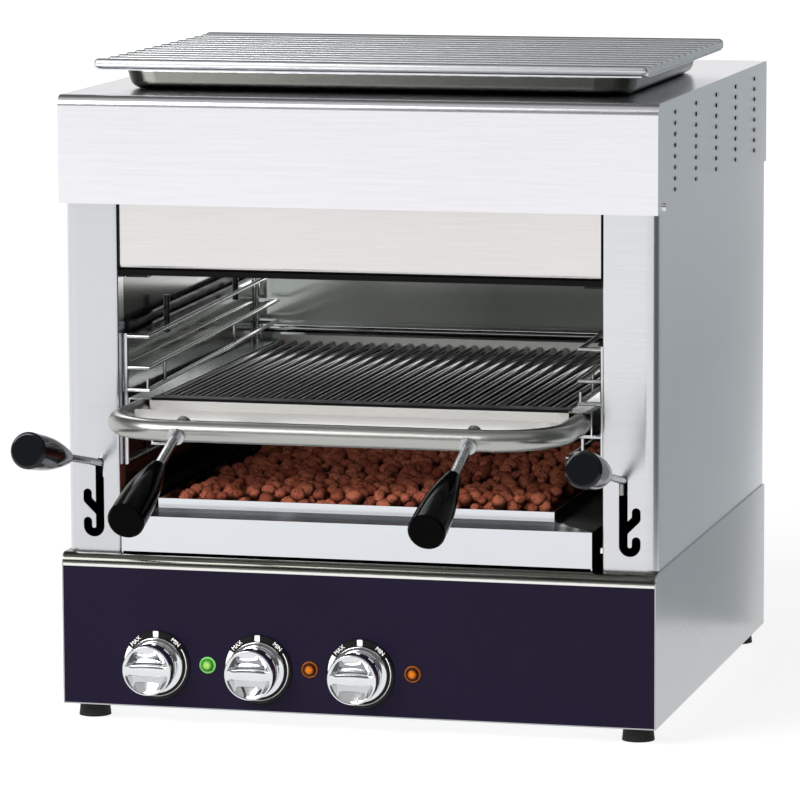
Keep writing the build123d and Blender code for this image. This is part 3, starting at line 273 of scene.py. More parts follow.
def stainless_sheet(name, colour, shade, roughness, grain_depth, stains_and_painted_light=(), bare=1.0):
    """Belt-ground stainless sheet: colour in the light, shade in its grain and faint clouds, marks of use and
    painted light on top.

    A mark is (axis, start in mm, stop in mm, colour, largest share, axis of the faces or None); some are marks of
    use, the others painted light. Bare is the share of bare metal; the rest is a haze of oxide that scatters light."""
    material, tree, shader = new_finish(name)
    place = add(tree, "ShaderNodeTexCoord")
    fine, long = 1 / (scratch_mm * MM), 1 / (scratch_long_mm * MM)
    upright = add(tree, "ShaderNodeMapping", {"Vector": place.outputs["Object"], "Scale": (long, long, fine)})
    flat = add(tree, "ShaderNodeMapping", {"Vector": place.outputs["Object"], "Scale": (long, fine, long)})
    facing = add(tree, "ShaderNodeVectorMath", {0: place.outputs["Normal"]}, operation="ABSOLUTE")
    facing = add(tree, "ShaderNodeSeparateXYZ", {0: facing.outputs[0]})
    looks = {axis: add(tree, "ShaderNodeMath", {0: facing.outputs[axis], 1: facing_least},
                       operation="GREATER_THAN").outputs[0] for axis in "XYZ"}
    chosen = add(tree, "ShaderNodeMix", {0: looks["Z"], 4: upright.outputs[0], 5: flat.outputs[0]},
                 data_type="VECTOR")
    grain = add(tree, "ShaderNodeTexNoise", {"Vector": chosen.outputs[1], "Scale": 1.0, "Detail": 3.0})
    clouds = add(tree, "ShaderNodeTexNoise", {"Vector": place.outputs["Object"], "Scale": 1 / (cloud_mm * MM)})
    blend = add(tree, "ShaderNodeMath", {0: grain.outputs["Fac"], 1: clouds.outputs["Fac"]}, operation="MULTIPLY")
    tone = add(tree, "ShaderNodeMix", {0: blend.outputs[0], 6: linear(colour), 7: linear(shade)},
               data_type="RGBA").outputs[2]
    blotch = add(tree, "ShaderNodeTexNoise", {"Vector": place.outputs["Object"], "Scale": 1 / (blotch_mm * MM)})
    axes = add(tree, "ShaderNodeSeparateXYZ", {0: place.outputs["Object"]})
    for axis, start_mm, stop_mm, mark_colour, most, face_axis in stains_and_painted_light:
        along = axes.outputs[axis[-1]]
        if axis.startswith("out"):
            along = add(tree, "ShaderNodeMath", {0: along}, operation="ABSOLUTE").outputs[0]
        ragged = min(abs(stop_mm - start_mm), ragged_mm) * MM
        along = add(tree, "ShaderNodeMath", {0: blotch.outputs["Fac"], 1: ragged, 2: along},
                    operation="MULTIPLY_ADD").outputs[0]
        share = add(tree, "ShaderNodeMapRange", {"Value": along, "From Min": start_mm * MM + ragged / 2,
                                                 "From Max": stop_mm * MM + ragged / 2, "To Max": most}).outputs[0]
        if face_axis:
            share = add(tree, "ShaderNodeMath", {0: share, 1: looks[face_axis]}, operation="MULTIPLY").outputs[0]
        tone = add(tree, "ShaderNodeMix", {0: share, 6: tone, 7: linear(mark_colour)}, data_type="RGBA").outputs[2]
    rough = add(tree, "ShaderNodeMapRange", {"Value": grain.outputs["Fac"], "To Min": roughness * (1 - uneven),
                                             "To Max": roughness * (1 + uneven)})
    bump = add(tree, "ShaderNodeBump", {"Height": grain.outputs["Fac"], "Strength": grain_depth,
                                        "Distance": skin_depth})
    shader.inputs["Metallic"].default_value = bare
    tree.links.new(tone, shader.inputs["Base Color"])
    tree.links.new(rough.outputs[0], shader.inputs["Roughness"])
    tree.links.new(bump.outputs[0], shader.inputs["Normal"])
    return material


print("scratches", scratch_mm, "mm wide and", scratch_long_mm, "mm long")

# %% Stainless finishes
# The walls turn nearly black towards the bottom, below the grill rods.
low_darkening = ("Z", 296, 258, "#171413", 0.94, None)
satin_stainless = stainless_sheet("satin_stainless", "#F0EFF3", "#E4E4E9", 0.22, 0.02)
# Painted light: sideways faces turn lighter towards the top, and front faces darker towards the left edge, a painted
# shade.
post_stainless = stainless_sheet("post_stainless", "#DFE0E3", "#CFD1D5", 0.24, 0.02,
                                 [("Z", 330, 489, "#F0EFF3", 0.9, "X"), ("X", -150, -200, "#CED0D3", 0.9, "Y")])
base_stainless = stainless_sheet("base_stainless", "#BFC1C4", "#B1B3B7", 0.24, 0.02)
fascia_stainless = stainless_sheet("fascia_stainless", "#E2DFDE", "#D5D2D2", 0.22, 0.02)
bright_stainless = stainless_sheet("bright_stainless", "#E8EAEE", "#DCDFE4", 0.13, 0.01)
# Painted light: flat faces at the front are painted greyer, a painted reflection, and the drawer's inside is painted
# nearly black, a painted shade.
tray_stainless = stainless_sheet("tray_stainless", "#DFE2E6", "#D3D6DB", 0.13, 0.01,
                                 [("Y", -118, -123, "#A9B0B2", 0.9, "Z"), ("Y", -98, -66, "#1A1715", 0.94, None)])
# Painted light: the dark colour is a painted dark reflection, the nearly black flat faces painted shade, the bright
# band at the rim a painted highlight and the black band near the bottom a painted shadow.
pan_stainless = stainless_sheet("pan_stainless", "#62635D", "#575852", 0.20, 0.01,
                                [("Z", 0, 1, "#262624", 0.9, "Z"), ("Z", 607.6, 608.6, "#E8EAEE", 0.95, None),
                                 ("Z", 597, 594, "#161615", 0.9, None)])
# Painted light: the dark colour is a painted dark reflection and the white band at the lower edge a painted
# highlight.
trim_stainless = stainless_sheet("trim_stainless", "#73736D", "#666660", 0.14, 0.02,
                                 [("Z", 149.8, 149.2, "#F2F2EE", 0.95, None)])
brushed_tube = stainless_sheet("brushed_tube", "#B8B8B4", "#A9A9A5", 0.30, 0.02)
channel_stainless = stainless_sheet("channel_stainless", "#E6E5E2", "#D9D8D5", 0.16, 0.0,
                                    [("outX", 190, 214, "#6A4A33", 0.6, None)], 0.6)
rear_bar_stainless = stainless_sheet("rear_bar_stainless", "#F6F6F3", "#EDEDEA", 0.30, 0.0,
                                     [("X", -160, -196, "#7A5A44", 0.6, None)], 0.1)
# Painted light: the walls turn dark towards the top under the hood, a painted shade, and lighter towards the rear, a
# painted reflection.
dulled_stainless = stainless_sheet("dulled_stainless", "#B6BAB4", "#A2A7A0", 0.15, 0.0,
                                   [("Z", 352, 365, "#3E423D", 0.9, None), ("Y", 120, 250, "#DADED8", 0.9, None),
                                    low_darkening], 0.8)
# Painted light: the rear wall is painted darker towards the right, so its left end stays bright as a painted
# reflection.
rear_wall_stainless = stainless_sheet("rear_wall_stainless", "#F2F5F1", "#E6E9E4", 0.13, 0.02,
                                      [("X", -150, 20, "#9EA49C", 0.96, None), low_darkening], 0.6)
print("thirteen stainless finishes")

# %% [markdown]
# ## Other metals
# The knobs and wire racks are chrome-plated: nearly a mirror, with faint smears where hands and cloths have been.
# Screws, rods and lever parts are zinc-plated steel, greyer and softer. The heater rails and the grill's front
# bar are steel that heat has turned dark.

# %% Metal without a grain
def patchy_finish(name, colour, shade, roughness, spread, patch_mm, bump_strength, detail):
    """Finish without a direction: patches vary its colour and roughness, and bump gives its skin."""
    material, tree, shader = new_finish(name)
    place = add(tree, "ShaderNodeTexCoord")
    patches = add(tree, "ShaderNodeTexNoise", {"Vector": place.outputs["Object"],
                                               "Scale": 1 / (patch_mm * MM), "Detail": detail})
    tone = add(tree, "ShaderNodeMix", {0: patches.outputs["Fac"], 6: linear(colour), 7: linear(shade)},
               data_type="RGBA")
    rough = add(tree, "ShaderNodeMapRange", {"Value": patches.outputs["Fac"], "From Min": 0.3, "From Max": 0.7,
                                             "To Min": roughness, "To Max": roughness + spread})
    bump = add(tree, "ShaderNodeBump", {"Height": patches.outputs["Fac"], "Strength": bump_strength,
                                        "Distance": skin_depth})
    tree.links.new(tone.outputs[2], shader.inputs["Base Color"])
    tree.links.new(rough.outputs[0], shader.inputs["Roughness"])
    tree.links.new(bump.outputs[0], shader.inputs["Normal"])
    return material, shader


def bare_metal(name, colour, shade, roughness, spread, patch_mm, bump_strength=0.0, bare=1.0):
    """Metal without a grain, where bare is the share of bare metal."""
    material, shader = patchy_finish(name, colour, shade, roughness, spread, patch_mm, bump_strength, 4.0)
    shader.inputs["Metallic"].default_value = bare
    return material


print("patches dent the skin by", skin_depth / MM, "mm at most")

# %% Chrome, plated and dark steel
chrome_plate = bare_metal("chrome_plate", "#EDEEF0", "#E0E2E4", 0.05, 0.05, 14)
rack_chrome = bare_metal("rack_chrome", "#DCDDDD", "#C6C7C8", 0.10, 0.08, 12)
louvre_steel = bare_metal("louvre_steel", "#F6F7F8", "#ECEEF0", 0.45, 0.10, 6, bare=0.4)
plated_wire = bare_metal("plated_wire", "#E6E8EA", "#D6D9DB", 0.34, 0.10, 10)
zinc_plated_steel = bare_metal("zinc_plated_steel", "#C9CBCC", "#B0B3B5", 0.20, 0.12, 8, 0.05)
blued_steel = bare_metal("blued_steel", "#35353A", "#262427", 0.30, 0.15, 20, 0.1)
heater_sheath = bare_metal("heater_sheath", "#4C4843", "#37332F", 0.38, 0.20, 12, 0.2)
roller_brass = bare_metal("roller_brass", "#C9A55A", "#A88440", 0.25, 0.15, 5, 0.1)
print("eight bare metals")

# %% [markdown]
# ## Enamel, plastics and rubber
# These are not metals: they show their own colour in the light and only a thin gloss on top. The grill rods carry
# black enamel that is burnt in with fat, the grips are phenolic plastic polished to a deep gloss, the front panel
# has a satin aubergine lacquer, and the feet are rubber. The gloss value scales the mirror-like part: 0.5 is the
# 4 percent of common plastic. The rods' hard glaze of fat throws back more, lacquer and worn grips less.

# %% Lacquers, plastics and rubber
def gloss_coat(name, colour, shade, roughness, spread, speck_mm, bump_strength, gloss=0.5):
    """Lacquer, enamel or plastic with fine specks."""
    material, shader = patchy_finish(name, colour, shade, roughness, spread, speck_mm, bump_strength, 3.0)
    shader.inputs["Specular IOR Level"].default_value = gloss
    return material


aubergine_lacquer = gloss_coat("aubergine_lacquer", "#191129", "#140D21", 0.34, 0.06, 2.0, 0.04, 0.14)
black_enamel = gloss_coat("black_enamel", "#0C0C0B", "#070707", 0.09, 0.04, 6.0, 0.0, 0.85)
black_phenolic = gloss_coat("black_phenolic", "#050505", "#030303", 0.10, 0.05, 9.0, 0.02, 0.03)
lever_phenolic = gloss_coat("lever_phenolic", "#0E1014", "#090A0D", 0.10, 0.05, 9.0, 0.02, 0.30)
black_dial = gloss_coat("black_dial", "#121113", "#0C0B0D", 0.26, 0.08, 1.5, 0.05, 0.22)
moulded_nylon = gloss_coat("moulded_nylon", "#2B2B2C", "#222223", 0.45, 0.10, 1.2, 0.15)
terminal_porcelain = gloss_coat("terminal_porcelain", "#E9E4D8", "#DDD6C6", 0.25, 0.10, 4.0, 0.08)
white_nylon = gloss_coat("white_nylon", "#EDEDEA", "#DDDDD8", 0.35, 0.10, 1.5, 0.05)
painted_shade_black = gloss_coat("painted_shade_black", "#0A0A0A", "#060606", 0.50, 0.10, 1.5, 0.10, 0.10)
foot_rubber = gloss_coat("foot_rubber", "#1C1B1B", "#141313", 0.62, 0.15, 1.2, 0.3, 0.4)
dial_paint = gloss_coat("dial_paint", "#F4F4F2", "#E6E6E3", 0.40, 0.10, 0.8, 0.05, 0.3)
print("eleven lacquers, plastics and rubbers")

# %% [markdown]
# ## Burnt clay
# Lava stones are porous rock burnt red-brown. Each stone has its own tone, which the stones' node tree stores as an
# attribute. Pores are a fine noise of 2.6 mm that darkens the colour and dents the surface. Faces that look away
# from up and front are painted darker, a painted shade between the stones, so the colour also depends on where a
# face looks.

# %% Lava rock
lava_rock, tree, shader = new_finish("lava_rock")
place = add(tree, "ShaderNodeTexCoord")
tone = add(tree, "ShaderNodeAttribute", attribute_name="stone_tone")
pore_mm, dent_mm = 2.6, 0.5
pores = add(tree, "ShaderNodeTexNoise", {"Vector": place.outputs["Object"], "Scale": 1 / (pore_mm * MM),
                                         "Detail": 4.0, "Roughness": 0.6})
light_clay = add(tree, "ShaderNodeMix", {0: tone.outputs["Fac"], 6: linear("#8C4836"), 7: linear("#C06E54")},
                 data_type="RGBA")
pit = add(tree, "ShaderNodeMapRange", {"Value": pores.outputs["Fac"], "From Min": 0.33, "From Max": 0.47})
clay = add(tree, "ShaderNodeMix", {0: pit.outputs[0], 6: linear("#52261B"), 7: light_clay.outputs[2]},
           data_type="RGBA")
# Painted shade: faces that look away from up and front mix towards near-black #2A110B.
tops = add(tree, "ShaderNodeVectorMath", {0: place.outputs["Normal"], 1: (0.0, -0.5, 0.87)},
           operation="DOT_PRODUCT")
painted_shade_share = add(tree, "ShaderNodeMapRange", {"Value": tops.outputs["Value"], "From Min": 0.75, "From Max": -0.05,
                                         "To Max": 0.9}, interpolation_type="SMOOTHSTEP")
shaded_clay = add(tree, "ShaderNodeMix", {0: painted_shade_share.outputs[0], 6: clay.outputs[2], 7: linear("#2A110B")},
              data_type="RGBA")
bump = add(tree, "ShaderNodeBump", {"Height": pores.outputs["Fac"], "Strength": 0.4, "Distance": dent_mm * MM})
shader.inputs["Roughness"].default_value = 0.92
shader.inputs["Specular IOR Level"].default_value = 0.2
tree.links.new(shaded_clay.outputs[2], shader.inputs["Base Color"])
tree.links.new(bump.outputs[0], shader.inputs["Normal"])
print("lava rock")

# %% [markdown]
# ## Pilot lamp acrylic
# Each lens is moulded acrylic over a small lamp. Seen from the front its colour goes in rings: a bright rim where
# the edge gathers light, a deeper groove and a glowing middle. The lens pieces store how far a point lies from
# the axis, from 0 to 1, and two mixes turn that into the rings.

# %% Acrylic lenses
def lens_acrylic(name, middle, groove, rim):
    """Moulded acrylic in three rings of colour, read from the piece's own across attribute."""
    material, tree, shader = new_finish(name)
    across = add(tree, "ShaderNodeAttribute", attribute_name="across")
    outwards = add(tree, "ShaderNodeMapRange", {"Value": across.outputs["Fac"], "From Min": 0.25, "From Max": 0.6})
    edge = add(tree, "ShaderNodeMapRange", {"Value": across.outputs["Fac"], "From Min": 0.74, "From Max": 0.92})
    inner = add(tree, "ShaderNodeMix", {0: outwards.outputs[0], 6: linear(middle), 7: linear(groove)},
                data_type="RGBA")
    tone = add(tree, "ShaderNodeMix", {0: edge.outputs[0], 6: inner.outputs[2], 7: linear(rim)}, data_type="RGBA")
    shader.inputs["Roughness"].default_value = 0.10
    shader.inputs["IOR"].default_value = 1.49
    shader.inputs["Specular IOR Level"].default_value = 0.25
    shader.inputs["Emission Strength"].default_value = 0.10
    tree.links.new(tone.outputs[2], shader.inputs["Base Color"])
    tree.links.new(tone.outputs[2], shader.inputs["Emission Color"])
    return material


green_acrylic = lens_acrylic("green_acrylic", "#93C35A", "#357F2D", "#7CC468")
amber_acrylic = lens_acrylic("amber_acrylic", "#C86A08", "#2E0D02", "#8A4A08")
print("two acrylics")

# %% [markdown]
# ## Give every CAD piece its finish
# A CAD piece whose shape is right stays as it is and only gets its material.

# %% Finishes of the CAD nodes
finishes = {
    satin_stainless: ["hood"],
    post_stainless: ["side_panel_left", "side_panel_right", "back_panel"],
    base_stainless: ["base_shell"],
    fascia_stainless: ["inner_fascia"],
    bright_stainless: ["grill_rail_left", "grill_rail_right"],
    tray_stainless: ["lava_tray"],
    pan_stainless: ["top_pan"],
    trim_stainless: ["deck_plate"],
    brushed_tube: ["grill_tube"],
    channel_stainless: ["drip_channel"],
    rear_bar_stainless: ["grill_rear_bar"],
    dulled_stainless: ["liner_left", "liner_right", "ceiling_reflector"],
    rear_wall_stainless: ["liner_rear"],
    chrome_plate: ["knob_left", "knob_middle", "knob_right", "rack_cross_rod", "hood_screws"],
    rack_chrome: ["rack_left", "rack_right"],
    plated_wire: ["top_grid"],
    zinc_plated_steel: ["foot_studs", "lever_pivots", "lever_rod_left", "lever_rod_right",
                        "lift_plate_left", "lift_plate_right", "pull_rods", "pull_nuts", "shaft_left",
                        "shaft_middle", "shaft_right"],
    blued_steel: ["heater_rails", "heater_hooks", "heater_rests", "grill_front_bar"],
    heater_sheath: ["upper_heaters", "lower_heaters"],
    roller_brass: ["lift_roller_left", "lift_roller_right"],
    aubergine_lacquer: ["control_panel"],
    black_enamel: ["grill_rods"],
    black_phenolic: ["pull_grips"],
    lever_phenolic: ["lever_grip_left", "lever_grip_right"],
    black_dial: ["dial_rings"],
    moulded_nylon: ["regulators", "lamp_housings", "cable_gland"],
    terminal_porcelain: ["terminal_block"],
    foot_rubber: ["feet"],
    green_acrylic: ["green_lens"],
    amber_acrylic: ["amber_lenses"],
    lava_rock: ["lava_bed", "lava_stones"],
}
for finish, names in finishes.items():
    for name in names:
        for material_slot in nodes[name].material_slots:
            material_slot.material = finish
missing = set(nodes) - {name for names in finishes.values() for name in names}
print("finishes on", len(nodes) - len(missing), "nodes, without one:", sorted(missing))

# %% [markdown]
# ## Heaped stones
# The drawer holds well over a thousand stones of 10 to 17 mm. Placing them by hand is hopeless and a physics run
# would be slow, so a node tree scatters them: points at a fixed least distance on a flat sheet, lifted into a heap
# that falls off to the left as in the photo, each with one of six lumpy balls, turned and sized at random from a
# fixed seed. A ball has only 80 faces, because there are so many. Two layers on top of each other hide the gaps.

# %% Sizes of the heap
heap_tree = bpy.data.node_groups.new("stone_heap", "GeometryNodeTree")
heap_sizes = {"Width": 0.352, "Depth": 0.372, "Spacing": 0.0122, "Smallest": 0.0052, "Largest": 0.0088,
              "Layer Step": 0.0075, "Heap Rise": 0.007, "Low Edge": 0.075}
for name in heap_sizes:
    heap_tree.interface.new_socket(name, in_out="INPUT", socket_type="NodeSocketFloat")
heap_tree.interface.new_socket("Geometry", in_out="OUTPUT", socket_type="NodeSocketGeometry")
size = add(heap_tree, "NodeGroupInput").outputs
print("heap with", len(heap_sizes), "sizes")

# %% Six shapes of stone
stone_shapes = 6
variants = add(heap_tree, "GeometryNodeGeometryToInstance")
here = add(heap_tree, "GeometryNodeInputPosition").outputs[0]
for variant in range(stone_shapes):
    ball = add(heap_tree, "GeometryNodeMeshIcoSphere", {"Radius": 1.0, "Subdivisions": 2})
    shifted = add(heap_tree, "ShaderNodeVectorMath", {0: here, 1: (7.3 * variant, 3.1 * variant, 0.0)},
                  operation="ADD")
    lumps = add(heap_tree, "ShaderNodeTexNoise", {"Vector": shifted.outputs[0], "Scale": 0.9, "Detail": 2.0})
    swell = add(heap_tree, "ShaderNodeMapRange", {"Value": lumps.outputs["Fac"], "From Min": 0.25,
                                                  "From Max": 0.75, "To Min": 0.72, "To Max": 1.22})
    lumpy = add(heap_tree, "ShaderNodeVectorMath", {0: here, "Scale": swell.outputs[0]}, operation="SCALE")
    stone = add(heap_tree, "GeometryNodeSetPosition", {"Geometry": ball.outputs["Mesh"],
                                                       "Position": lumpy.outputs[0]})
    heap_tree.links.new(stone.outputs[0], variants.inputs[0])
print("shapes of stone:", len(variants.inputs[0].links))

# %% Points in two layers
sheet = add(heap_tree, "GeometryNodeMeshGrid", {"Size X": size["Width"], "Size Y": size["Depth"]})
axes = add(heap_tree, "ShaderNodeSeparateXYZ", {0: here})
half_width = add(heap_tree, "ShaderNodeMath", {0: size["Width"], 1: 0.5}, operation="MULTIPLY")
from_left = add(heap_tree, "ShaderNodeMath", {0: axes.outputs["X"], 1: half_width.outputs[0]}, operation="ADD")
climb = add(heap_tree, "ShaderNodeMapRange", {"Value": from_left.outputs[0], "From Max": size["Low Edge"],
                                              "To Min": -1.0, "To Max": 0.0}, interpolation_type="SMOOTHSTEP")
waves = add(heap_tree, "ShaderNodeTexNoise", {"Vector": here, "Scale": 14.0, "Detail": 1.0})
height = add(heap_tree, "ShaderNodeMath", {0: waves.outputs["Fac"], 1: climb.outputs[0]}, operation="ADD")
height = add(heap_tree, "ShaderNodeMath", {0: height.outputs[0], 1: size["Heap Rise"]}, operation="MULTIPLY")
heap = add(heap_tree, "GeometryNodeJoinGeometry")
for layer in range(2):
    points = add(heap_tree, "GeometryNodeDistributePointsOnFaces",
                 {"Mesh": sheet.outputs["Mesh"], "Distance Min": size["Spacing"], "Density Max": 22000.0,
                  "Seed": 11 + layer}, distribute_method="POISSON")
    up = add(heap_tree, "ShaderNodeMath", {0: size["Layer Step"], 1: float(layer), 2: height.outputs[0]},
             operation="MULTIPLY_ADD")
    lift = add(heap_tree, "ShaderNodeCombineXYZ", {"Z": up.outputs[0]})
    raised = add(heap_tree, "GeometryNodeSetPosition", {"Geometry": points.outputs["Points"],
                                                        "Offset": lift.outputs[0]})
    heap_tree.links.new(raised.outputs[0], heap.inputs[0])
print("layers of points:", len(heap.inputs[0].links))

# %% Stones on the points
pick = add(heap_tree, "FunctionNodeRandomValue", {4: 0, 5: stone_shapes - 1, 8: 3}, data_type="INT")
turn = add(heap_tree, "FunctionNodeRandomValue", {0: (0.0, 0.0, 0.0), 1: (6.28, 6.28, 6.28), 8: 5},
           data_type="FLOAT_VECTOR")
radius = add(heap_tree, "FunctionNodeRandomValue", {2: size["Smallest"], 3: size["Largest"], 8: 7},
             data_type="FLOAT")
stones = add(heap_tree, "GeometryNodeInstanceOnPoints",
             {"Points": heap.outputs[0], "Instance": variants.outputs[0], "Pick Instance": True,
              "Instance Index": pick.outputs[2], "Rotation": turn.outputs[0], "Scale": radius.outputs[1]})
tone = add(heap_tree, "FunctionNodeRandomValue", {2: 0.0, 3: 1.0, 8: 9}, data_type="FLOAT")
stored = add(heap_tree, "GeometryNodeStoreNamedAttribute",
             {"Geometry": stones.outputs[0], "Name": "stone_tone", "Value": tone.outputs[1]},
             data_type="FLOAT", domain="INSTANCE")
real = add(heap_tree, "GeometryNodeRealizeInstances", {"Geometry": stored.outputs[0]})
rounded = add(heap_tree, "GeometryNodeSetShadeSmooth", {"Geometry": real.outputs[0]})
dressed = add(heap_tree, "GeometryNodeSetMaterial", {"Geometry": rounded.outputs[0], "Material": lava_rock})
add(heap_tree, "NodeGroupOutput", {"Geometry": dressed.outputs[0]})
print("stone tree with", len(heap_tree.nodes), "nodes")

# %% Stones in the drawer
def grown(name, tree, sizes, place):
    """Plain mesh object that a node tree makes from its named sizes, moved to its place in the mesh."""
    seed = bpy.data.objects.new(name + "_tree", bpy.data.meshes.new(name + "_tree"))
    scene.collection.objects.link(seed)
    modifier = seed.modifiers.new("tree", "NODES")
    modifier.node_group = tree
    for item in tree.interface.items_tree:
        if item.in_out == "INPUT":
            modifier[item.identifier] = sizes[item.name]
    mesh = bpy.data.meshes.new_from_object(seed.evaluated_get(bpy.context.evaluated_depsgraph_get()))
    bpy.data.objects.remove(seed)
    mesh.transform(Matrix.Translation(place))
    mesh.name = name
    piece = bpy.data.objects.new(name, mesh)
    scene.collection.objects.link(piece)
    return piece


stones_low, stones_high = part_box("lava_stones")
bed_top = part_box("lava_bed")[1].z
middle = (stones_low + stones_high) / 2
heap_up = 5.0 * MM
stone_heap = grown("stone_heap", heap_tree, heap_sizes, (middle.x, middle.y, bed_top + heap_up))
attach(stone_heap, "lava_drawer")
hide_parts("lava_stones")
tops = [vertex.co.z for vertex in stone_heap.data.vertices]
print("stones:", len(stone_heap.data.polygons), "faces, top at", round(max(tops), 4), "of", round(stones_high.z, 4))

# %% [markdown]
# ## Knobs
# Each knob is a chrome-plated casting: a flange, a hollow cove, a body with a round front rim, and two scoops that
# leave a lens-shaped bar to grip. A turned solid can't have scoops and a cut one has hard edges, so the front is a
# height field. A square grid is pressed into a disc, which bends its rows just like the edges of the bar, so the
# steep walls beside the bar follow whole rows and stay smooth. Rings then carry the disc's edge down to the flange.

# %% Helpers for meshes
def make_piece(name, points, faces, material):
    """Smooth mesh object at the origin from points in millimetres, with its faces turned outwards."""
    mesh = bpy.data.meshes.new(name)
    mesh.from_pydata([Vector(point) * MM for point in points], [], faces)
    mesh.materials.append(material)
    work = bmesh.new()
    work.from_mesh(mesh)
    bmesh.ops.recalc_face_normals(work, faces=work.faces)
    work.to_mesh(mesh)
    work.free()
    mesh.shade_smooth()
    piece = bpy.data.objects.new(name, mesh)
    scene.collection.objects.link(piece)
    return piece


def smooth(value):
    """Soft step from 0 to 1."""
    value = min(1.0, max(0.0, value))
    return value * value * (3 - 2 * value)


print("soft step at a quarter:", smooth(0.25))

# %% Shape of a knob
disc_r, bar_share, scoop_mm, face_mm = 21.3, 0.235, 9.0, 30.6
wall_share, scoop_end, crown_mm = 0.10, 0.70, 0.6
steps = [0.0, 0.08, 0.15, 0.20, 0.235, 0.255, 0.275, 0.295, 0.315, 0.335, 0.37, 0.43, 0.52, 0.62, 0.73, 0.84, 0.93]
rows = [-t for t in reversed(steps + [1.0])] + (steps + [1.0])[1:]
half_columns = 14
columns = [-1 + i / half_columns for i in range(2 * half_columns + 1)]
knob_rings = [(22.0, 30.9), (22.7, 31.0), (23.3, 30.6), (23.6, 29.6), (23.6, 17.0), (23.2, 11.0), (22.3, 7.0),
              (21.8, 5.0), (22.2, 3.6), (23.4, 3.0), (25.6, 2.9), (26.2, 2.5), (26.5, 1.7), (26.5, 0.0)]


def knob_point(s, t):
    """Point of the knob's front: across, up and outwards, in millimetres from its back."""
    away = abs(t)
    wall = smooth((away - bar_share) / wall_share)
    slope = min(1.0, (1 - away) / (1 - bar_share - wall_share))
    ends = 1 - smooth((abs(s) - scoop_end) / (1 - scoop_end))
    crown = crown_mm * min(1.0, away / bar_share) ** 2 * (1 - wall)
    depth = (scoop_mm * wall * slope + crown) * ends
    return (s * disc_r * math.sqrt(1 - t * t / 2), t * disc_r * math.sqrt(1 - s * s / 2), face_mm - depth)


print("knob front", len(columns), "by", len(rows), "points, bar at", knob_point(0, 0)[2], "mm")

# %% Knobs
def knob_piece(name, x, z, back_y):
    """One knob about its shaft, with its back on the dial."""
    wide, tall = len(columns), len(rows)
    points = [knob_point(s, t) for t in rows for s in columns]
    faces = [(j * wide + i, j * wide + i + 1, (j + 1) * wide + i + 1, (j + 1) * wide + i)
             for j in range(tall - 1) for i in range(wide - 1)]
    edge = list(range(wide)) + [j * wide + wide - 1 for j in range(1, tall)]
    edge += [(tall - 1) * wide + i for i in reversed(range(wide - 1))]
    edge += [j * wide for j in reversed(range(1, tall - 1))]
    turns = [math.atan2(points[k][1], points[k][0]) for k in edge]
    before = edge
    for r, w in knob_rings:
        ring = list(range(len(points), len(points) + len(turns)))
        points += [(r * math.cos(a), r * math.sin(a), w) for a in turns]
        for k in range(len(turns)):
            after = (k + 1) % len(turns)
            faces.append((before[k], before[after], ring[after], ring[k]))
        before = ring
    faces.append(tuple(before))
    return make_piece(name, [(x + u, back_y - w, z + v) for u, v, w in points], faces, chrome_plate)


knob_centres = []
for side in ("left", "middle", "right"):
    low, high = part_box("knob_" + side)
    centre = (low + high) / 2 / MM
    knob_centres.append(centre)
    knob = knob_piece("chrome_knob_" + side, centre.x, centre.z, high.y / MM)
    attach(knob, "knob_" + side)
    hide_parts("knob_" + side)
print("knob:", len(knob.data.polygons), "faces")

# %% [markdown]
# ## Dial marks
# White paint on each black dial: a block at the top, the words MAX and MIN to its sides, and a scale that starts as
# a line and swells towards MAX. Paint has hardly any thickness, but two faces in one place flicker, so the marks
# are 0.1 mm thick and partly sunk into the dial. The words are text objects, made a mesh before they are placed.

# %% Shapes of the marks
mark_r, mark_half, mark_sunk = 29.5, 0.05, 0.02
line_half, swell_half, swell_start = 0.42, 1.7, 0.74
word_high, word_bold = 5.4, 0.10


def arc_mark(start, stop, count):
    """Points and faces of the scale, clockwise between two angles from the top, flat in x and z."""
    points, faces = [], []
    for i in range(count + 1):
        share = i / count
        a = math.radians(start + share * (stop - start))
        half = line_half + swell_half * smooth((share - swell_start) / (1 - swell_start))
        for r in (mark_r - half, mark_r + half):
            points += [(r * math.sin(a), -mark_half, r * math.cos(a)), (r * math.sin(a), mark_half, r * math.cos(a))]
    for i in range(count):
        k = 4 * i
        for a, b in ((0, 1), (1, 3), (3, 2), (2, 0)):
            faces.append((k + a, k + b, k + 4 + b, k + 4 + a))
    return points, faces + [(0, 1, 3, 2), (4 * count, 4 * count + 2, 4 * count + 3, 4 * count + 1)]


def block_mark(wide, high, corner):
    """Points and faces of the block at the top of the dial, with cut corners."""
    rim = [(wide - corner, high), (wide, high - corner), (wide, corner - high), (wide - corner, -high),
           (corner - wide, -high), (-wide, corner - high), (-wide, high - corner), (corner - wide, high)]
    points = [(x, y, mark_r + z) for y in (-mark_half, mark_half) for x, z in rim]
    faces = [tuple(range(8)), tuple(range(15, 7, -1))]
    return points, faces + [(k, k + 8, (k + 1) % 8 + 8, (k + 1) % 8) for k in range(8)]


print("marks on a ring of", 2 * mark_r, "mm")

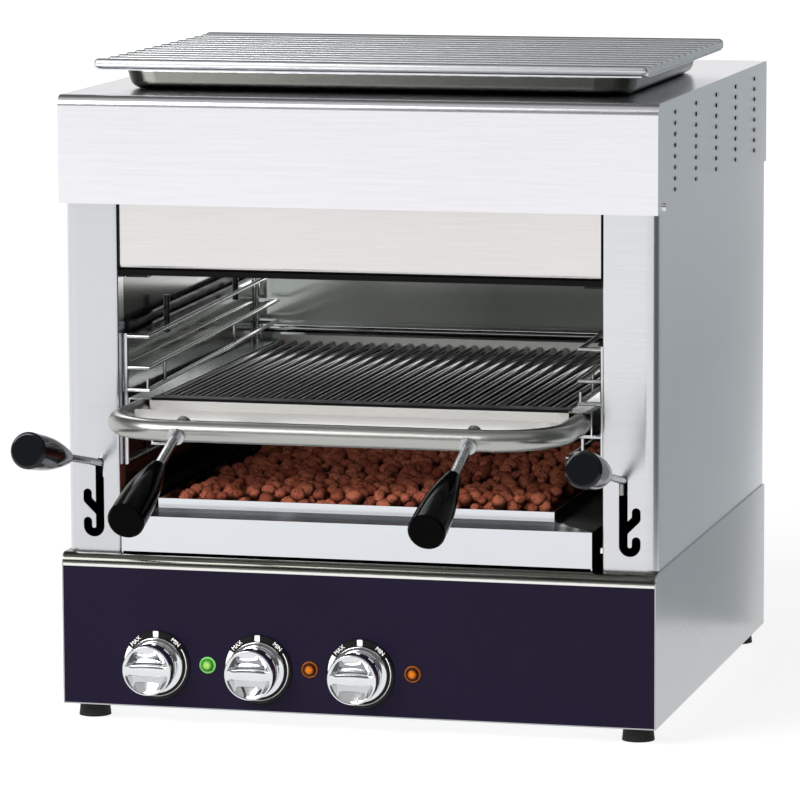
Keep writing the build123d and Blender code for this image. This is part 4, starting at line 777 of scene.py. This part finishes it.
# %% Words
def word_mark(word, angle):
    """Mesh of a word that stands on the dial's ring at an angle clockwise from the top, in millimetres."""
    text = bpy.data.curves.new("dial_word", "FONT")
    text.body = word
    text.size, text.extrude, text.offset = word_high, mark_half, word_bold
    text.align_x, text.align_y = "CENTER", "CENTER"
    holder = bpy.data.objects.new("dial_word", text)
    scene.collection.objects.link(holder)
    mesh = bpy.data.meshes.new_from_object(holder.evaluated_get(bpy.context.evaluated_depsgraph_get()))
    bpy.data.objects.remove(holder)
    turn = math.radians(angle)
    mesh.transform(Matrix.Rotation(turn, 4, "Y") @ Matrix.Translation((0, 0, mark_r)) @
                   Matrix.Rotation(math.pi / 2, 4, "X"))
    return [tuple(vertex.co) for vertex in mesh.vertices], [tuple(face.vertices) for face in mesh.polygons]


print("words", word_high, "mm high")

# %% Marks on the dials
marks = [arc_mark(57, 303, 60), block_mark(2.6, 2.9, 0.5), word_mark("MAX", -42), word_mark("MIN", 41)]
dial_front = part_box("dial_rings")[0].y / MM
points, faces = [], []
for centre in knob_centres:
    for mark_points, mark_faces in marks:
        first = len(points)
        points += [(centre.x + x, dial_front - mark_sunk + y, centre.z + z) for x, y, z in mark_points]
        faces += [tuple(first + k for k in face) for face in mark_faces]
dial_marks = make_piece("dial_marks", points, faces, dial_paint)
dial_marks.data.shade_flat()
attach(dial_marks, "body")
print("dial marks:", len(faces), "faces")

# %% [markdown]
# ## Pilot lamp lenses
# A lens is turned: a rim on the panel, a groove and a dome. Its outline is spun round the axis in 40 steps, with
# both poles closed, and each point keeps its distance from the axis as the attribute that the acrylic reads.

# %% Shape of a lens
lens_outline = [(0, 0.0), (7.9, 0.0), (8.0, 0.9), (7.7, 1.6), (7.2, 1.9), (6.6, 1.8), (6.1, 1.3), (5.7, 1.2),
                (5.3, 1.9), (4.7, 3.0), (3.8, 3.9), (2.6, 4.35), (1.3, 4.55), (0, 4.6)]
lens_r, lens_steps = 8.0, 40


def lens_piece(name, centres, back_y, material):
    """Turned lenses on the panel about their centres, in one mesh."""
    points, faces, across, count = [], [], [], lens_steps
    for x, z in centres:
        first = len(points)
        rings = lens_outline[1:-1]
        points += [(x, back_y, z), (x, back_y - lens_outline[-1][1], z)]
        across += [0.0, 0.0]
        for r, w in rings:
            for k in range(count):
                a = 2 * math.pi * k / count
                points.append((x + r * math.cos(a), back_y - w, z + r * math.sin(a)))
                across.append(r / lens_r)
        for j in range(len(rings) - 1):
            for k in range(count):
                a, b = first + 2 + j * count + k, first + 2 + j * count + (k + 1) % count
                faces.append((a, b, b + count, a + count))
        last = first + 2 + (len(rings) - 1) * count
        for k in range(count):
            faces.append((first, first + 2 + (k + 1) % count, first + 2 + k))
            faces.append((first + 1, last + k, last + (k + 1) % count))
    piece = make_piece(name, points, faces, material)
    piece.data.attributes.new("across", "FLOAT", "POINT").data.foreach_set("value", across)
    return piece


print("lens outline of", len(lens_outline), "points")

# %% Lenses
panel_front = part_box("control_panel")[0].y / MM
green_low, green_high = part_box("green_lens")
amber_low, amber_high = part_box("amber_lenses")
lamp_z = (green_low.z + green_high.z) / 2 / MM
lens_half = (green_high.x - green_low.x) / 2 / MM
green_lens = lens_piece("green_pilot_lens", [((green_low.x + green_high.x) / 2 / MM, lamp_z)], panel_front,
                        green_acrylic)
amber_lens = lens_piece("amber_pilot_lenses", [(amber_low.x / MM + lens_half, lamp_z),
                                               (amber_high.x / MM - lens_half, lamp_z)], panel_front,
                        amber_acrylic)
for lens, node in ((green_lens, "green_lens"), (amber_lens, "amber_lenses")):
    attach(lens, "body")
    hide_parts(node)
print("lenses at height", round(lamp_z, 1), "mm")

# %% [markdown]
# ## Wire grid on the pan
# The grid's frame is bent from thick wire, so its ends are round. Every bar is a capsule: rings of points along x
# that shrink to a pole at both ends. Two thick bars close the frame, flat rails carry the thin bars between them.

# %% Bars and blocks
def capsule(x_end, y, z, radius, steps=16):
    """Points and faces of a bar along x from -x_end to x_end with half-ball ends, in millimetres."""
    bends = [math.radians(a) for a in (22.5, 45.0, 67.5, 90.0)]
    rings = [(radius - x_end - radius * math.cos(a), radius * math.sin(a)) for a in bends]
    rings += [(-x, r) for x, r in reversed(rings)]
    points = [(x, y + r * math.cos(2 * math.pi * k / steps), z + r * math.sin(2 * math.pi * k / steps))
              for x, r in rings for k in range(steps)] + [(-x_end, y, z), (x_end, y, z)]
    faces = [(j * steps + k, j * steps + (k + 1) % steps, (j + 1) * steps + (k + 1) % steps, (j + 1) * steps + k)
             for j in range(len(rings) - 1) for k in range(steps)]
    last = (len(rings) - 1) * steps
    faces += [(len(points) - 2, (k + 1) % steps, k) for k in range(steps)]
    return points, faces + [(len(points) - 1, last + k, last + (k + 1) % steps) for k in range(steps)]


def block(low, high):
    """Points and faces of a box between two corners in millimetres."""
    points = [(x, y, z) for x in (low[0], high[0]) for y in (low[1], high[1]) for z in (low[2], high[2])]
    return points, [(0, 1, 3, 2), (4, 6, 7, 5), (0, 4, 5, 1), (2, 3, 7, 6), (0, 2, 6, 4), (1, 5, 7, 3)]


def joined_piece(name, shapes, material):
    """One mesh object of several shapes, each a list of points and a list of faces."""
    points, faces = [], []
    for more_points, more_faces in shapes:
        faces += [tuple(len(points) + k for k in face) for face in more_faces]
        points += more_points
    return make_piece(name, points, faces, material)


print("a block has", len(block((0, 0, 0), (1, 1, 1))[1]), "faces")

# %% Grid
grid_low, grid_high = (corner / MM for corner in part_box("top_grid"))
end_r, bar_r, bar_pitch, rail_w, rail_h, bar_sunk, crease = 4.5, 3.0, 28.0, 9.0, 6.0, 0.4, math.radians(50)
bar_count = int((grid_high.y - grid_low.y - 4 * end_r - 2 * bar_r) / bar_pitch) + 1
grid_middle = (grid_low.y + grid_high.y) / 2
grid_shapes = [capsule(grid_high.x, y, grid_low.z + end_r, end_r) for y in (grid_low.y + end_r, grid_high.y - end_r)]
grid_shapes += [capsule(grid_high.x, grid_middle + (i - (bar_count - 1) / 2) * bar_pitch,
                        grid_low.z + rail_h - bar_sunk * bar_r, bar_r) for i in range(bar_count)]
grid_shapes += [block((x, grid_low.y + end_r, grid_low.z), (x + rail_w, grid_high.y - end_r, grid_low.z + rail_h))
                for x in (grid_low.x, grid_high.x - rail_w)]
wire_grid = joined_piece("wire_grid", grid_shapes, plated_wire)
wire_grid.data.set_sharp_from_angle(angle=crease)
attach(wire_grid, "top_grid")
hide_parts("top_grid")
print("grid of", bar_count, "bars,", len(wire_grid.data.polygons), "faces")

# %% [markdown]
# ## Vent louvres
# The sides of the hood have forty pressed louvres each: a small nose that opens towards the front. They are all
# alike, so a node tree sets one stretched ball on each point of a grid that stands upright. The same tree makes the
# noses and, a little further forward, black balls of painted shade where their mouths open.

# %% Node tree of the louvres
vent_tree = bpy.data.node_groups.new("vent_grid", "GeometryNodeTree")
for name, kind in (("Columns", "Int"), ("Rows", "Int"), ("Along", "Float"), ("Up", "Float"), ("Ball", "Vector"),
                   ("Finish", "Material")):
    vent_tree.interface.new_socket(name, in_out="INPUT", socket_type="NodeSocket" + kind)
vent_tree.interface.new_socket("Geometry", in_out="OUTPUT", socket_type="NodeSocketGeometry")
size = add(vent_tree, "NodeGroupInput").outputs
sheet = add(vent_tree, "GeometryNodeMeshGrid", {"Size X": size["Along"], "Size Y": size["Up"],
                                                "Vertices X": size["Columns"], "Vertices Y": size["Rows"]})
axes = add(vent_tree, "ShaderNodeSeparateXYZ", {0: add(vent_tree, "GeometryNodeInputPosition").outputs[0]})
upright = add(vent_tree, "ShaderNodeCombineXYZ", {"Y": axes.outputs["X"], "Z": axes.outputs["Y"]})
stood = add(vent_tree, "GeometryNodeSetPosition", {"Geometry": sheet.outputs["Mesh"],
                                                   "Position": upright.outputs[0]})
ball = add(vent_tree, "GeometryNodeMeshUVSphere", {"Segments": 12, "Rings": 8, "Radius": 1.0})
balls = add(vent_tree, "GeometryNodeInstanceOnPoints", {"Points": stood.outputs[0], "Instance": ball.outputs["Mesh"],
                                                        "Scale": size["Ball"]})
real = add(vent_tree, "GeometryNodeRealizeInstances", {"Geometry": balls.outputs[0]})
rounded = add(vent_tree, "GeometryNodeSetShadeSmooth", {"Geometry": real.outputs[0]})
dressed = add(vent_tree, "GeometryNodeSetMaterial", {"Geometry": rounded.outputs[0], "Material": size["Finish"]})
add(vent_tree, "NodeGroupOutput", {"Geometry": dressed.outputs[0]})
print("louvre tree with", len(vent_tree.nodes), "nodes")

# %% Louvres on both sides
vent_columns, vent_rows, vent_pitch_y, vent_pitch_z = 5, 8, 100.5 * MM, 10.2 * MM
first_vent_y, first_vent_z, mouth_ahead = 81.0 * MM, 16.5 * MM, 2.3 * MM
nose, mouth = (1.95 * MM, 3.5 * MM, 2.7 * MM), (1.05 * MM, 2.0 * MM, 2.1 * MM)
vent_y = hood_low.y + first_vent_y + (vent_columns - 1) * vent_pitch_y / 2
vent_z = hood_low.z + first_vent_z + (vent_rows - 1) * vent_pitch_z / 2
grid_sizes = {"Columns": vent_columns, "Rows": vent_rows, "Along": (vent_columns - 1) * vent_pitch_y,
              "Up": (vent_rows - 1) * vent_pitch_z}
for side, x in (("left", hood_low.x), ("right", hood_high.x)):
    noses = grown("vent_noses_" + side, vent_tree, grid_sizes | {"Ball": nose, "Finish": louvre_steel},
                  (x, vent_y, vent_z))
    # Black balls a little in front of the noses are painted shade in the louvres' mouths.
    mouth_shades = grown("vent_mouth_shades_" + side, vent_tree, grid_sizes | {"Ball": mouth, "Finish": painted_shade_black},
                   (x, vent_y - mouth_ahead, vent_z))
    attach(noses, "body")
    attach(mouth_shades, "body")
print("louvres on a side:", vent_columns * vent_rows)

# %% [markdown]
# ## Shade strips, glide and sleeves
# Black strips of painted shade darken the gaps at the fascia: one under its lower edge and one in each gap to the
# posts. A white nylon glide on the right-hand post guides the drawer. Under each lever, just behind the slot, hangs
# a white nylon sleeve; it rides on the lever and goes down with it.

# %% Shade strips and glide
fascia_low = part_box("inner_fascia")[0] / MM
hood_bottom = hood_low.z / MM
strip_out, strip_down, strip_deep, strip_bite, gap_in, gap_out = 2.0, 4.5, 12.0, 0.5, 230.0, 231.3
strip_y = fascia_low.y + strip_bite
# Painted shade: black strips in the gaps under and beside the fascia.
shade_strips = joined_piece("fascia_shade_strips", [
    block((-gap_out, fascia_low.y, fascia_low.z - strip_down),
          (gap_out, fascia_low.y + strip_deep, fascia_low.z + strip_bite)),
    block((gap_in, fascia_low.y - strip_out, fascia_low.z), (gap_out, strip_y, hood_bottom)),
    block((-gap_out, fascia_low.y - strip_out, fascia_low.z), (-gap_in, strip_y, hood_bottom))], painted_shade_black)
glide_low, glide_high = (229.6, -132.5, 175.0), (231.8, -128.0, 179.5)
glide = joined_piece("drawer_glide", [block(glide_low, glide_high)], white_nylon)
for piece in (shade_strips, glide):
    piece.data.shade_flat()
    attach(piece, "body")
print("seals down to", fascia_low.z - strip_down, "mm, glide at", glide_low[2], "mm")

# %% Sleeves
sleeve_r, sleeve_top, sleeve_h, sleeve_x, sleeve_y, sleeve_steps = 4.2, 239.2, 10.0, 246.2, -126.5, 24
rim = [(sleeve_r * math.cos(2 * math.pi * k / sleeve_steps), sleeve_r * math.sin(2 * math.pi * k / sleeve_steps))
       for k in range(sleeve_steps)]
for side, x in (("left", -sleeve_x), ("right", sleeve_x)):
    points = [(x + u, sleeve_y + v, z) for z in (sleeve_top, sleeve_top - sleeve_h) for u, v in rim]
    faces = [tuple(range(sleeve_steps)), tuple(range(sleeve_steps, 2 * sleeve_steps))]
    faces += [(k, (k + 1) % sleeve_steps, (k + 1) % sleeve_steps + sleeve_steps, k + sleeve_steps)
              for k in range(sleeve_steps)]
    sleeve = make_piece("lever_sleeve_" + side, points, faces, white_nylon)
    sleeve.data.shade_flat()
    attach(sleeve, "lever_" + side)
print("two sleeves of", sleeve_h, "mm")

# %% [markdown]
# ## Close

# %% View settings
scene.view_settings.view_transform = "Standard"
